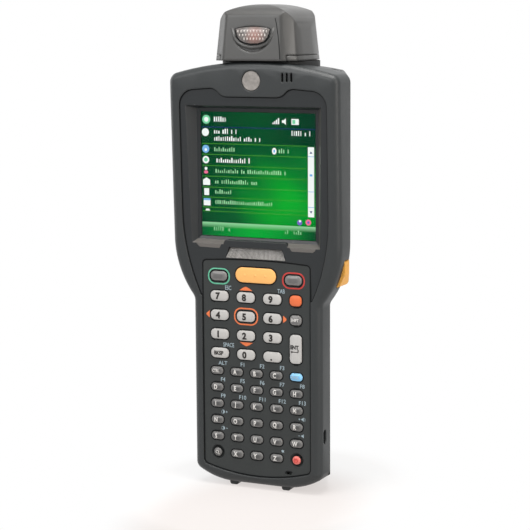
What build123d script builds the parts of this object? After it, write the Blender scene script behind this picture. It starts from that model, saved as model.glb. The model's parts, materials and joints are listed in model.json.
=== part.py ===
from build123d import *
from math import asin, cos, radians, sin, sqrt, tan
import os

# Rugged handheld data terminal with a scan turret that turns on top of its head.
# Origin under the middle of the two foot rails, +Z up its length, face towards -Y.
# Millimetres throughout. Depths are measured back from the foremost plane of the forehead.

# Overall body
overall_depth = 41.0
foot_height = 1.6
body_height = 183.6
head_width = 79.2
grip_width = 60.6
crown_radius = 142.0
head_corner = 4.0
shoulder_z = 109.2
shoulder_radius = 42.0
neck_radius = 4.0
heel_flat = 24.0
heel_radius = 32.0
heel_corner = 4.0
split_depth = 13.6
edge_radius = 3.5
rear_draft = 25.0
top_fall = 4.2
rear_edge_chamfer = 3.2

# Face: a flat grip face, then a slope that brings the forehead forward
grip_face_depth = 3.0
slope_start_z = 91.0
forehead_z = 171.0
face_blend = 200.0

# Display
display_size = 53.9
display_z = 137.1
display_border = 1.1
glass_depth = 6.1
glass_thickness = 1.2
glass_margin = 3.5
lcd_thickness = 3.5
lcd_overhang = 2.2
bevel_side = 2.8
bevel_top = 1.2
bevel_bottom = 2.6

# Display frame, a separate moulding let into the front housing
frame_border = 7.35
frame_drop = 0.7
frame_back_depth = 7.6
frame_gap = 0.15
frame_rise = 37.0
frame_dip = 3.6
dip_half = 11.5
dip_edge = 19.5
frame_corner = 7.0
frame_side_drop = 16.0
frame_side_radius = 88.0
frame_ledge = 2.8
frame_tip_margin = 0.7
frame_side_fall = 1.2

# Light bar under the display
bar_top_width = 25.0
bar_bottom_width = 28.0
bar_height = 4.6
bar_above_panel = 0.3
bar_slope = 1.5
bar_thickness = 1.2
hood_side = 2.2
hood_flare = 0.8
hood_foot = 1.2
hood_height = 3.1
hood_corner = 1.6

# Badge and speaker in the forehead
badge_diameter = 8.4
badge_thickness = 0.9
badge_set = 0.1
badge_chamfer = 0.2
badge_z = 177.4
speaker_x = 16.5
speaker_z = 178.9
speaker_width = 7.2
speaker_height = 7.0
speaker_thickness = 3.0
speaker_slot_width = 1.0
speaker_slot_height = 3.8
speaker_slot_pitch = 2.05
speaker_skin = 1.6

# Keypad panel
panel_depth = 3.6
panel_thickness = 1.6
panel_width = 51.2
panel_top_z = 101.0
panel_height = 95.5
panel_crown = 300.0
panel_heel = 85.0
panel_corner = 2.0
panel_heel_corner = 2.5
panel_gap = 0.15
panel_ledge = 1.5
panel_margin = 3.0

# Keys: sizes as width and height, places from the panel's top edge
key_rise = 1.0
key_gap = 0.3
key_flat_count = 2
key_travel = 0.75
key_chamfer = 0.45
flange_margin = 0.55
flange_thickness = 0.7
flange_play = 0.05
mat_play = 0.1
number_key = (8.8, 4.8)
number_corner = 2.1
number_pitch_x = 12.56
number_pitch_z = 8.38
number_centre_x = -4.78
number_drop = 16.6
side_column_x = 18.7
orange_key = (5.8, 4.9)
shift_key = (5.7, 4.6)
enter_key = (5.8, 12.8)
side_corner = 1.9
letter_key = (5.8, 3.4)
letter_corner = 1.6
letter_pitch_x = 9.43
letter_pitch_z = 7.3
letter_drop = 49.7
call_key = (8.4, 4.7)
call_key_x = 17.65
call_drop = 7.9
scan_key = (19.6, 7.1)
scan_corner = 3.5
scan_flat_count = 4
scan_drop = 6.8
round_key = 4.0
round_key_sides = 16
dish_diameter = 6.6
dish_depth = 0.6
mic_slot = (2.7, 1.2)
mic_x = 15.2
mic_drop = 92.4

# Behind the keypad and the display
mat_thickness = 1.0
keypad_board_thickness = 1.2
board_thickness = 1.6
board_width = 65.2
board_height = 66.0
board_bottom_z = 105.4
radio_board = (26.0, 18.0, 1.0)
radio_drop = 8.8
cavity_width = 66.0
cavity_top_z = 172.0
cavity_bottom_z = 104.2
rear_cavity_depth = 32.6
rear_cavity_top_margin = 6.0
rear_cavity_low_margin = 4.0
grip_cavity_margin = 1.8
grip_cavity_bottom_z = 11.4
grip_cavity_depth = 18.1
fit_gap = 0.2
seal_width = 1.0
seal_depth = 0.8
seal_inset = 0.8

# Side scan buttons on the shoulders
button_top_z = 101.9
button_bottom_z = 90.4
button_front_depth = 9.1
button_back_depth = 18.1
button_inset = 0.5
button_wall = 2.4
button_room = 3.4
button_heel_share = 0.5
button_travel = 0.8
button_gap = 0.25
button_corner = 1.4
switch_height = 5.0
switch_width = 6.0
switch_reach = 1.9
plunger_radius = 1.0

# Lanyard slots low on both sides
eyelet_depth = 7.6
eyelet_z = 25.4
eyelet_width = 3.0
eyelet_height = 6.4
eyelet_cut = 3.1

# Foot rails under the heel
rail_width = 4.0
rail_x = 12.5
rail_front_depth = 6.4
rail_back_depth = 33.0
rail_root = 2.0

# Charging and data port in the heel
port_width = 18.0
port_front_depth = 16.1
port_span = 6.6
port_height = 5.0
connector_height = 3.6
connector_margin = 1.0

# Battery pack, its contacts and catch
battery_width = 41.0
battery_bottom_z = 15.0
battery_top_z = 108.0
battery_seat_depth = 20.6
battery_corner = 4.0
battery_flat_count = 3
battery_gap = 0.2
contact_width = 12.0
contact_height = 4.0
contact_block_depth = 2.6
contact_drop = 6.0
latch_width = 17.0
latch_height = 7.5
latch_thickness = 3.4
latch_travel = 3.0
latch_gap = 0.25
latch_above_battery = 1.2
latch_rib_height = 0.5
latch_rib_count = 4
latch_rib_inset = 1.0
spring_width = 7.0
spring_length = 8.0
spring_strip = 0.4
spring_folds = 6
spring_breadth = 2.0
spring_skin = 1.4

# Stylus and its silo
stylus_inset = 10.5
stylus_wall = 3.0
stylus_depth = 23.6
stylus_diameter = 4.6
stylus_length = 86.0
stylus_gap = 0.2
stylus_sink = 0.3
stylus_tip = 6.0
stylus_taper = 14.0
stylus_sides = 12
stylus_head = 7.0
stylus_neck = 0.5

# Housing screws
screw_upper = (21.0, 175.4)
screw_lower = (12.2, 7.9)
screw_head_radius = 2.5
screw_head_height = 1.8
screw_shank_radius = 1.25
screw_seat_depth = 30.6
screw_tip_depth = 9.6
screw_gap = 0.3
screw_head_sides = 12

# Turret
turret_axis_depth = 19.1
turret_gap = 0.5
turret_height = 23.5
turret_half_width = 19.8
turret_half_depth = 18.3
turret_face_half = 13.3
turret_front_shoulder = (19.0, 13.8)
turret_rear_shoulder = (18.0, 12.7)
turret_draft = 6.0
turret_crease = 0.7
dome_radius = 34.0
dome_shoulder = 10.0
dome_skin = 0.1
dome_edge = 11.0
turret_wall = 2.2
turret_roof = 6.8
turret_base_height = 2.1
turret_seam = 0.2
turret_front_skin = 1.8
lamp_width = 16.0
lamp_top = 1.2
lamp_side = (1.0, 2.6)
lamp_bottom = 5.4
lamp_above_base = 12.9
lamp_thickness = 2.2
lamp_recess = 0.4
rim_margin = 1.5
rim_bottom = 9.2
rim_recess = 0.5
scan_window_size = (24.0, 11.0)
scan_window_corner = 2.0
scan_window_above_base = 12.0
scan_window_thickness = 1.5
engine_size = (20.0, 14.0, 11.0)
engine_lens_radius = 3.2
engine_lens_reach = 2.0
hub_radius = 9.0
hub_bore = 3.5
hub_play = 0.05
hub_flange_radius = 11.3
hub_flange_height = 1.6
hub_sides = 16
collar_width = 41.0
collar_front_depth = 4.3
collar_back_depth = 37.5
collar_corner = 14.0
collar_flat_count = 4
collar_height = 3.0
collar_proud = 0.2
collar_barrel_radius = 12.0
collar_barrel_height = 4.6
well_radius = 13.0
well_height = 4.6
turret_screw_x = 13.0
turret_screw_y = 10.0
turret_screw_head = 1.9
turret_screw_shank = 1.0
turret_screw_length = 7.0
turret_screw_head_height = 1.0
hub_screw_offset = 6.2

# Places that follow from the sizes above
front_y = -overall_depth / 2
back_y = overall_depth / 2
body_bottom = foot_height
body_top = foot_height + body_height
split_y = front_y + split_depth
glass_y = front_y + glass_depth
glass_back_y = glass_y + glass_thickness
frame_back_y = front_y + frame_back_depth
panel_y = front_y + panel_depth
panel_back_y = panel_y + panel_thickness
flange_y = panel_back_y + flange_play
key_back_y = flange_y + flange_thickness
mat_y = key_back_y + key_travel + mat_play
mat_back_y = mat_y + mat_thickness
keypad_board_back_y = mat_back_y + keypad_board_thickness
head_cavity_y = frame_back_y + frame_ledge / 2
board_back_y = split_y + board_thickness
battery_seat_y = front_y + battery_seat_depth
panel_bottom_z = panel_top_z - panel_height
window_half = display_size / 2 + display_border
glass_half = display_size / 2 + glass_margin
frame_half = display_size / 2 + frame_border
throat_half = frame_half - frame_ledge
frame_top_z = display_z + frame_rise
frame_straight_z = display_z - frame_side_drop
turret_axis_y = front_y + turret_axis_depth
turret_axis = Pos(0, turret_axis_y, 0)
turret_bottom = body_top + turret_gap
turret_top = turret_bottom + turret_height
cover_bottom = turret_bottom + turret_base_height + turret_seam
collar_top = body_top + collar_proud
collar_bottom = collar_top - collar_height
barrel_bottom = collar_bottom - collar_barrel_height
well_bottom = barrel_bottom - well_height
button_middle_z = (button_top_z + button_bottom_z) / 2
button_reach = head_width / 2 - button_inset
latch_bottom = battery_top_z + latch_above_battery
latch_pocket_top = latch_bottom + latch_height + latch_travel + latch_gap
grip_cavity_half = panel_width / 2 + fit_gap
button_floor_x = grip_cavity_half + seal_inset + seal_width + button_wall
button_inner_x = button_floor_x + button_room
button_thickness = button_reach - button_inner_x
stylus_x = head_width / 2 - stylus_inset
rear_cavity_half = stylus_x - stylus_diameter / 2 - stylus_gap - stylus_wall
grip_cavity_top_z = panel_top_z - panel_margin
reach = 200.0


# Drawing helpers: a sketch's x is the terminal's X, and its y is Z when seen from the front
def slab(sketch, front, back):
    """Sketch seen from the front, as a solid between two depths."""
    return extrude(Plane.XZ.offset(-back) * sketch, back - front)


def upright(plan, bottom, top):
    """Plan seen from above, as a solid between two heights."""
    return extrude(Plane.XY.offset(bottom) * plan, top - bottom)


def across(profile, half_width):
    """Profile seen from the side, drawn in Y and Z, as a solid across the width."""
    return extrude(Plane.YZ * profile, half_width, both=True)


def block(left, right, front, back, bottom, top):
    centre = Pos((left + right) / 2, (front + back) / 2, (bottom + top) / 2)
    return centre * Box(right - left, back - front, top - bottom)


def both_sides(shape):
    """The shape and its mirror image across the middle."""
    return shape + mirror(shape, Plane.YZ)


def corner_near(sketch, x, z):
    """The sketch's corner nearest to a place."""
    return sorted(sketch.vertices(), key=lambda v: (v.X - x) ** 2 + (v.Y - z) ** 2)[0]


def round_corners(sketch, places, radius):
    """Rounds the corners nearest to the given places, on both sides of the middle."""
    for x, z in places:
        found = {corner_near(sketch, side * x, z) for side in (1, -1)}
        sketch = fillet(list(found), radius)
    return sketch


def mirrored_face(half):
    """A closed face from the lines of its right half, which end on the middle."""
    edges = half.edges()
    return make_face(edges + mirror(half, Plane.YZ).edges())


def flat_cornered(width, height, corner, flats):
    """Rounded rectangle whose corners are made of a few flats."""
    points = []
    for quarter in range(4):
        start = radians(90 * quarter)
        centre_x = (width / 2 - corner) * (1 if quarter in (0, 3) else -1)
        centre_z = (height / 2 - corner) * (1 if quarter in (0, 1) else -1)
        for step in range(flats + 1):
            angle = start + radians(90 * step / flats)
            points.append((centre_x + corner * cos(angle), centre_z + corner * sin(angle)))
    return make_face(Polyline(points, close=True))


# Outer forms
def crown_z(x, y=split_y):
    """Height of the crowned top at a distance from the middle; it falls away behind the joint."""
    fall = max(y - split_y, 0) * tan(radians(top_fall))
    return body_top - crown_radius + sqrt(crown_radius**2 - x**2) - fall


def neck_z(centre_x, grip_half, shoulder):
    """Height at which the shoulder's arc meets the grip's side."""
    return shoulder_z - sqrt(shoulder**2 - (grip_half - centre_x) ** 2)


def body_outline(head_half, grip_half, shoulder, heel_half, heel):
    """Outline from the front: crowned head, shoulders that curve in to the grip, round heel."""
    corner_z = crown_z(head_half)
    low_z = neck_z(head_half - shoulder, grip_half, shoulder)
    heel_z = body_bottom + heel - sqrt(heel**2 - (grip_half - heel_half) ** 2)
    half = (
        RadiusArc((0, body_top), (head_half, corner_z), crown_radius)
        + Line((head_half, corner_z), (head_half, shoulder_z))
        + RadiusArc((head_half, shoulder_z), (grip_half, low_z), shoulder)
        + Line((grip_half, low_z), (grip_half, heel_z))
        + RadiusArc((grip_half, heel_z), (heel_half, body_bottom), heel)
        + Line((heel_half, body_bottom), (0, body_bottom))
    )
    outline = mirrored_face(half)
    outline = round_corners(outline, [(head_half, corner_z)], head_corner)
    outline = round_corners(outline, [(grip_half, low_z)], neck_radius)
    return round_corners(outline, [(grip_half, heel_z)], heel_corner)


def front_outline():
    return body_outline(
        head_width / 2, grip_width / 2, shoulder_radius, heel_flat / 2, heel_radius
    )


def face_profile(drop):
    """Side view of all that lies behind the face, the face set back by a drop."""
    rail_y = front_y + grip_face_depth + drop
    brow_y = front_y + drop
    outline = Polyline(
        (rail_y, -reach),
        (rail_y, slope_start_z),
        (brow_y, forehead_z),
        (brow_y, reach + body_top),
        (reach, reach + body_top),
        (reach, -reach),
        close=True,
    )
    side = make_face(outline)
    bends = [corner_near(side, rail_y, slope_start_z), corner_near(side, brow_y, forehead_z)]
    return fillet(bends, face_blend)


def face_y(z, drop=0.0):
    """Depth of the face at a height."""
    share = min(max((z - slope_start_z) / (forehead_z - slope_start_z), 0), 1)
    return front_y + grip_face_depth * (1 - share) + drop


def rim_edges(solid, facing):
    """Edges round all the faces that look forward by at least a share."""
    faces = [f for f in solid.faces() if f.normal_at().Y < -facing]
    edges = [e for f in faces for e in f.edges()]
    return [e for e in edges if sum(e.is_same(other) for other in edges) == 1]


def rounded_rim(solid, radius):
    """Rim between face and sides, rounded in three flats that touch the radius."""
    face_only, with_flat = 0.9, 0.5
    turn = radians(90) / 4
    solid = chamfer(rim_edges(solid, face_only), radius * (2 - sqrt(2)))
    step = radius * (tan(turn) - tan(turn / 2))
    return chamfer(rim_edges(solid, face_only) + rim_edges(solid, with_flat), step)


def front_outer():
    solid = slab(front_outline(), front_y - 1, split_y) & across(face_profile(0), reach)
    return rounded_rim(solid, edge_radius)


def drafted_block(half_width, bottom, top):
    """Block behind the joint plane whose sides draw in towards the back."""
    inset = rear_inset()
    plan = Polyline(
        (half_width, split_y),
        (half_width - inset, back_y),
        (inset - half_width, back_y),
        (-half_width, split_y),
        close=True,
    )
    return upright(make_face(plan), bottom, top)


def rear_inset():
    return (back_y - split_y) * tan(radians(rear_draft))


def shoulder_cones():
    """The shoulders: on each side part of a cone, from the neck up to the head's straight side."""
    centre_x = head_width / 2 - shoulder_radius
    profile = Polyline(
        (centre_x, split_y),
        (head_width / 2, split_y),
        (head_width / 2 - rear_inset(), back_y),
        (centre_x, back_y),
        close=True,
    )
    axis = Axis((centre_x, 0, shoulder_z), (0, 1, 0))
    cone = revolve(Plane.XY.offset(shoulder_z) * make_face(profile), axis)
    low_z = neck_z(centre_x, grip_width / 2, shoulder_radius)
    band = block(0, reach, split_y, back_y, low_z - 2 * neck_radius, shoulder_z)
    return both_sides(cone & band)


def crown_form():
    """All that lies under the crowned top, which falls away towards the back."""
    side = head_width / 2 + 1
    half = (
        RadiusArc((0, body_top), (side, crown_z(side)), crown_radius)
        + Line((side, crown_z(side)), (side, -reach))
        + Line((side, -reach), (0, -reach))
    )
    depth = back_y + 1 - split_y
    fall = depth * tan(radians(top_fall))
    section = Plane.XZ.offset(-split_y) * mirrored_face(half)
    return extrude(section, sqrt(depth**2 + fall**2), dir=(0, depth, -fall))


def heel_form():
    """All that lies over the round heel."""
    turn_z = body_bottom + heel_radius
    heel_side = heel_flat / 2 + heel_radius
    half = (
        Line((0, reach), (reach, reach))
        + Line((reach, reach), (reach, turn_z))
        + Line((reach, turn_z), (heel_side, turn_z))
        + RadiusArc((heel_side, turn_z), (heel_flat / 2, body_bottom), heel_radius)
        + Line((heel_flat / 2, body_bottom), (0, body_bottom))
    )
    return slab(mirrored_face(half), split_y - 1, back_y + 1)


def head_corners():
    """What is cut off the head's upper corners, leaning in with its drafted sides."""
    side = head_width / 2
    corner_z = crown_z(side)
    crown_slope = asin(side / crown_radius)
    span = 2 * head_corner * tan((radians(90) - crown_slope) / 2)
    outside = Pos(side, corner_z) * Rectangle(span, span) - front_outline()
    depth = back_y + 1 - split_y
    inset = depth * tan(radians(rear_draft))
    rise = crown_z(side - inset, back_y + 1) - corner_z
    length = sqrt(depth**2 + inset**2 + rise**2)
    right = extrude(Plane.XZ.offset(-split_y) * outside, length, dir=(-inset, depth, rise))
    return both_sides(right)


def depthwise_edges(solid, low, high):
    """Edges that run from front to back at the sides, between two heights."""
    along = [e for e in solid.edges() if abs(e.tangent_at(0.5).Y) > 0.6]
    middles = [(e, e @ 0.5) for e in along]
    return [e for e, c in middles if low < c.Z < high and abs(c.X) > heel_flat / 2 + 1]


def rear_outer():
    """Rear shell's outer form: drafted sides under the crown and over the heel."""
    solid = drafted_block(head_width / 2, shoulder_z, body_top)
    solid += shoulder_cones()
    solid += drafted_block(grip_width / 2, 0, shoulder_z)
    neck = neck_z(head_width / 2 - shoulder_radius, grip_width / 2, shoulder_radius)
    necks = depthwise_edges(solid, neck - neck_radius, neck + 2 * neck_radius)
    solid = fillet(necks, neck_radius)
    solid = solid & crown_form() & heel_form()
    back_face = solid.faces().sort_by(Axis.Y)[-1]
    return chamfer(back_face.edges(), rear_edge_chamfer) - head_corners()


# Openings shared by the housings
def frame_outline():
    """Display frame seen from the front: dipped top edge, sides that curve in to points."""
    dip_z = frame_top_z - frame_dip
    side_top = frame_top_z - frame_side_fall
    tip_x = panel_width / 2 + frame_tip_margin
    tip_in = frame_half - tip_x
    tip_z = frame_straight_z - sqrt(frame_side_radius**2 - (frame_side_radius - tip_in) ** 2)
    middle = ((dip_half + dip_edge) / 2, frame_top_z - frame_dip / 2)
    sweep_radius = ((dip_edge - dip_half) ** 2 + frame_dip**2) / (4 * frame_dip)
    half = (
        Line((0, dip_z), (dip_half, dip_z))
        + RadiusArc((dip_half, dip_z), middle, -sweep_radius)
        + RadiusArc(middle, (dip_edge, frame_top_z), sweep_radius)
        + Line((dip_edge, frame_top_z), (frame_half, side_top))
        + Line((frame_half, side_top), (frame_half, frame_straight_z))
        + RadiusArc((frame_half, frame_straight_z), (tip_x, tip_z), frame_side_radius)
        + Line((tip_x, tip_z), (0, tip_z))
    )
    return round_corners(mirrored_face(half), [(frame_half, side_top)], frame_corner)


def panel_outline(grow=0.0):
    """Keypad panel seen from the front: slightly crowned top edge, rounded lower end."""
    half = panel_width / 2
    top_z = panel_top_z - panel_crown + sqrt(panel_crown**2 - half**2)
    heel_z = panel_bottom_z + panel_heel - sqrt(panel_heel**2 - half**2)
    lines = (
        RadiusArc((0, panel_top_z), (half, top_z), panel_crown)
        + Line((half, top_z), (half, heel_z))
        + RadiusArc((half, heel_z), (0, panel_bottom_z), panel_heel)
    )
    outline = round_corners(mirrored_face(lines), [(half, top_z)], panel_corner)
    outline = round_corners(outline, [(half, heel_z)], panel_heel_corner)
    return offset(outline, grow) if grow else outline


def button_pocket():
    right = block(
        button_floor_x,
        button_reach + reach,
        front_y + button_front_depth - button_gap,
        front_y + button_back_depth + button_gap,
        button_bottom_z - button_gap,
        button_top_z + button_gap,
    )
    return both_sides(right)


def few_sided(radius, sides=8):
    """Outline with flats for screws, for their holes and for what is keyed against turning."""
    return RegularPolygon(radius, sides)


def screw_places():
    return [(side * x, z) for x, z in (screw_upper, screw_lower) for side in (1, -1)]


def turret_well():
    """Room for the swivel: collar seat, collar barrel and the hub's flange below it."""
    flange = upright(collar_plan(), collar_bottom, collar_top + 1)
    barrel = upright(few_sided(collar_barrel_radius, hub_sides), barrel_bottom, collar_bottom)
    well = upright(few_sided(well_radius, hub_sides), well_bottom, barrel_bottom)
    return flange + turret_axis * (barrel + well)


def collar_plan():
    depth = collar_back_depth - collar_front_depth
    middle_y = front_y + (collar_front_depth + collar_back_depth) / 2
    return Pos(0, middle_y) * flat_cornered(collar_width, depth, collar_corner, collar_flat_count)


def foot_rails(front, back):
    section = RectangleRounded(rail_width, foot_height + rail_root, rail_width / 4)
    rail = slab(Pos(rail_x, (foot_height + rail_root) / 2) * section, front, back)
    return both_sides(rail)


# Front housing and what it carries
def speaker_slots():
    slot = Rot(0, 0, 90) * SlotOverall(speaker_slot_height, speaker_slot_width)
    places = [Pos(speaker_x + k * speaker_slot_pitch, speaker_z) for k in (-1, 0, 1)]
    return [place * slot for place in places]


def front_housing():
    frame_seat = offset(frame_outline(), frame_gap) - panel_outline(panel_gap)
    housing = front_outer()
    housing -= slab(frame_seat, front_y - 1, frame_back_y)
    housing -= slab(panel_outline(panel_gap), front_y - 1, panel_back_y)
    housing -= slab(panel_outline(-panel_ledge), front_y - 1, mat_y)
    housing -= block(
        -grip_cavity_half, grip_cavity_half, mat_y, split_y, grip_cavity_bottom_z, grip_cavity_top_z
    )
    throat = 2 * throat_half
    housing -= slab(Pos(0, display_z) * Rectangle(throat, throat), frame_back_y, split_y)
    housing -= head_cavity()
    housing -= slab(Sketch() + speaker_slots(), front_y - 1, split_y - speaker_thickness)
    housing -= speaker_pocket()
    badge_seat = Pos(0, badge_z) * Circle(badge_diameter / 2 + frame_gap)
    housing -= slab(badge_seat, front_y - 1, badge_seat_y())
    housing -= button_pocket()
    housing -= eyelets()
    housing -= turret_well()
    housing += foot_rails(front_y + rail_front_depth, split_y)
    for x, z in screw_places():
        hole = Pos(x, z) * few_sided(screw_shank_radius)
        housing -= slab(hole, front_y + screw_tip_depth, split_y)
    return housing


def badge_seat_y():
    return face_y(badge_z) + badge_set + badge_thickness


def head_cavity():
    half = cavity_width / 2
    return block(-half, half, head_cavity_y, split_y, cavity_bottom_z, cavity_top_z)


def speaker_pocket():
    half = speaker_width / 2 + fit_gap
    tall = speaker_height / 2 + fit_gap
    left, right = speaker_x - half, speaker_x + half
    return block(left, right, front_y + speaker_skin, split_y, speaker_z - tall, speaker_z + tall)


def eyelets():
    slot = Rot(0, 0, 90) * SlotOverall(eyelet_height, eyelet_width)
    slot = Pos(front_y + eyelet_depth, eyelet_z) * slot
    inner_x = grip_width / 2 - eyelet_cut
    cut = extrude(Plane.YZ.offset(inner_x) * slot, eyelet_cut + 1)
    return both_sides(cut)


def display_frame():
    """Frame let into the front housing, with a bevel down to the window and a light bar seat."""
    face = frame_outline() - panel_outline(panel_gap)
    frame = slab(face, front_y - 1, frame_back_y) & across(face_profile(frame_drop), reach)
    frame -= window_bevel() - hood_keep()
    glass_side = 2 * glass_half + fit_gap
    frame -= slab(Pos(0, display_z) * Rectangle(glass_side, glass_side), glass_y, frame_back_y)
    frame -= bar_seat()
    return frame


def window_bevel():
    """Opening over the glass, flaring out to the frame's face."""
    mouth_y = front_y - 1
    flare = (glass_y - mouth_y) / (glass_y - face_y(display_z, frame_drop))
    inner = Pos(0, display_z) * Rectangle(2 * window_half, 2 * window_half)
    width = 2 * (window_half + bevel_side * flare)
    height = 2 * window_half + (bevel_top + bevel_bottom) * flare
    shift = (bevel_top - bevel_bottom) * flare / 2
    outer = Pos(0, display_z + shift) * Rectangle(width, height)
    return loft([Plane.XZ.offset(-glass_y) * inner, Plane.XZ.offset(-mouth_y) * outer], ruled=True)


def bar_bottom_z():
    return panel_top_z + bar_above_panel


def hood_outline():
    """Raised hood over the light bar, in front of the window's lower bevel."""
    low = bar_bottom_z() + bar_height - hood_foot
    high = bar_bottom_z() + bar_height + hood_height
    narrow = bar_top_width / 2 + hood_side
    points = [(-narrow - hood_flare, low), (-narrow, high), (narrow, high), (narrow + hood_flare, low)]
    outline = make_face(Polyline(points, close=True))
    return round_corners(outline, [(narrow, high)], hood_corner)


def hood_keep():
    return slab(hood_outline(), front_y - 1, glass_y)


def bar_outline():
    low = bar_bottom_z()
    points = [
        (-bar_bottom_width / 2, low),
        (bar_bottom_width / 2, low),
        (bar_top_width / 2, low + bar_height),
        (-bar_top_width / 2, low + bar_height),
    ]
    return make_face(Polyline(points, close=True))


def bar_side(front, thickness):
    """Side view of a layer that leans back under the hood."""
    low = bar_bottom_z()
    top = low + bar_height
    foot_y = face_y(low, frame_drop) + front
    head_y = foot_y + bar_slope
    points = [(foot_y, low), (head_y, top), (head_y + thickness, top), (foot_y + thickness, low)]
    return make_face(Polyline(points, close=True))


def bar_layer(front, thickness):
    outline = slab(bar_outline(), front_y - 1, frame_back_y)
    return outline & across(bar_side(front, thickness), reach)


def bar_seat():
    clear = 1 + bar_slope
    return bar_layer(-clear, clear + bar_thickness)


def led_bar():
    return bar_layer(0, bar_thickness)


def display_window():
    side = 2 * glass_half
    return slab(Pos(0, display_z) * Rectangle(side, side), glass_y, glass_back_y)


def lcd_panel():
    width = display_size + 2 * lcd_overhang
    return slab(Pos(0, display_z) * Rectangle(width, width), glass_back_y, glass_back_y + lcd_thickness)


def badge_disc():
    outline = Pos(0, badge_z) * Circle(badge_diameter / 2)
    disc = slab(outline, badge_seat_y() - badge_thickness, badge_seat_y())
    return chamfer(disc.faces().sort_by(Axis.Y)[0].edges(), badge_chamfer)


def speaker():
    front = front_y + speaker_skin
    outline = Pos(speaker_x, speaker_z) * Rectangle(speaker_width, speaker_height)
    return slab(outline, front, front + speaker_thickness)


# Keypad
def key_table():
    """Every key by node name: its places, its size and its corner radius."""
    first_number_z = panel_top_z - number_drop
    columns = [number_centre_x + k * number_pitch_x for k in (-1, 0, 1)]
    rows = [first_number_z - k * number_pitch_z for k in range(4)]
    keys = {}
    layout = (
        ("key_7", "key_8", "key_9"),
        ("key_4", "key_5", "key_6"),
        ("key_1", "key_2", "key_3"),
        ("key_backspace", "key_0", "key_point"),
    )
    for row, names in zip(rows, layout):
        for x, name in zip(columns, names):
            keys[name] = ([(x, row)], number_key, number_corner)
    keys["key_orange"] = ([(side_column_x, rows[0])], orange_key, side_corner)
    keys["key_shift"] = ([(side_column_x, rows[1])], shift_key, side_corner)
    keys["key_enter"] = ([(side_column_x, (rows[2] + rows[3]) / 2)], enter_key, side_corner)
    call_z = panel_top_z - call_drop
    keys["key_green"] = ([(-call_key_x, call_z)], call_key, number_corner)
    keys["key_red"] = ([(call_key_x, call_z)], call_key, number_corner)
    keys["key_scan"] = ([(0, panel_top_z - scan_drop)], scan_key, scan_corner)
    keys.update(letter_table())
    return keys


def letter_table():
    """Small keys: five columns and six rows, with a blue key, a search key and a power key."""
    xs = [k * letter_pitch_x for k in (-2, -1, 0, 1, 2)]
    zs = [panel_top_z - letter_drop - k * letter_pitch_z for k in range(6)]
    round_size = (round_key, round_key)
    table = {
        "key_control": ([(xs[0], zs[0])], letter_key, letter_corner),
        "keys_a_to_c": ([(x, zs[0]) for x in xs[1:4]], letter_key, letter_corner),
        "key_blue": ([(xs[4], zs[0])], letter_key, letter_corner),
        "key_search": ([(xs[0], zs[5])], round_size, round_key / 2),
        "keys_x_to_z": ([(x, zs[5]) for x in xs[1:4]], letter_key, letter_corner),
        "key_power": ([(xs[4], zs[5])], round_size, round_key / 2),
    }
    for name, z in zip(("keys_d_to_h", "keys_i_to_m", "keys_n_to_r", "keys_s_to_w"), zs[1:5]):
        table[name] = ([(x, z) for x in xs], letter_key, letter_corner)
    return table


def key_shape(size, corner, grow=0.0):
    """Outline of a key, or of its opening when grown."""
    width, height = size
    if corner == height / 2 == width / 2:
        return few_sided(width / 2 + grow, round_key_sides)
    flats = scan_flat_count if size == scan_key else key_flat_count
    return flat_cornered(width + 2 * grow, height + 2 * grow, corner + grow, flats)


def key_cap(size, corner):
    """One key: a bevelled cap that passes the panel, on a flange that stops behind it."""
    cap = slab(key_shape(size, corner), panel_y - key_rise, flange_y)
    cap = chamfer(cap.faces().sort_by(Axis.Y)[0].edges(), key_chamfer)
    flange = Rectangle(size[0] + 2 * flange_margin, size[1] + 2 * flange_margin)
    return cap + slab(flange, flange_y, key_back_y)


def keys():
    built = {}
    for name, (places, size, corner) in key_table().items():
        cap = key_cap(size, corner)
        built[name] = [Pos(x, 0, z) * cap for x, z in places]
    return built


def keypad_panel():
    panel = slab(panel_outline(), panel_y, panel_back_y)
    table = key_table()
    openings = []
    for places, size, corner in table.values():
        opening = key_shape(size, corner, key_gap)
        openings += [Pos(x, z) * opening for x, z in places]
    mic = Pos(mic_x, panel_top_z - mic_drop) * SlotOverall(*mic_slot)
    for name in ("key_search", "key_power"):
        x, z = table[name][0][0]
        outline = Pos(x, z) * few_sided(dish_diameter / 2, round_key_sides)
        dish = Plane.XZ.offset(-panel_y) * outline
        panel -= extrude(dish, -dish_depth, taper=45)
    return panel - slab(Sketch() + openings + [mic], panel_y - 1, panel_back_y + 1)


def keypad_layer(front, back):
    """A sheet that fills the room behind the keypad."""
    half = grip_cavity_half - fit_gap
    return block(-half, half, front, back, grip_cavity_bottom_z + fit_gap, grip_cavity_top_z - fit_gap)


# Rear housing and what it carries
def battery_outline(grow=0.0):
    height = battery_top_z - battery_bottom_z
    width = battery_width + 2 * grow
    outline = flat_cornered(width, height + 2 * grow, battery_corner + grow, battery_flat_count)
    return Pos(0, (battery_top_z + battery_bottom_z) / 2) * outline


def board_seat():
    half = board_width / 2 + fit_gap
    low = board_bottom_z - fit_gap
    return block(-half, half, split_y, board_back_y, low, low + board_height + 2 * fit_gap)


def battery_contacts():
    top = battery_top_z - contact_drop
    half = contact_width / 2
    front = battery_seat_y - contact_block_depth
    return block(-half, half, front, battery_seat_y, top - contact_height, top)


def latch_pocket():
    half = latch_width / 2 + latch_gap
    front = back_y - latch_thickness
    pocket = block(-half, half, front, back_y + 1, latch_bottom - latch_gap, latch_pocket_top)
    half = spring_width / 2 + latch_gap
    back = back_y - spring_skin
    low = latch_bottom + latch_height
    return pocket + block(-half, half, back - spring_breadth, back, low, low + spring_length)


def stylus_silo():
    place = Pos(stylus_x, front_y + stylus_depth, 0)
    bore = Circle(stylus_diameter / 2 + stylus_gap)
    return place * upright(bore, stylus_top() - stylus_length, body_top)


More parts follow.
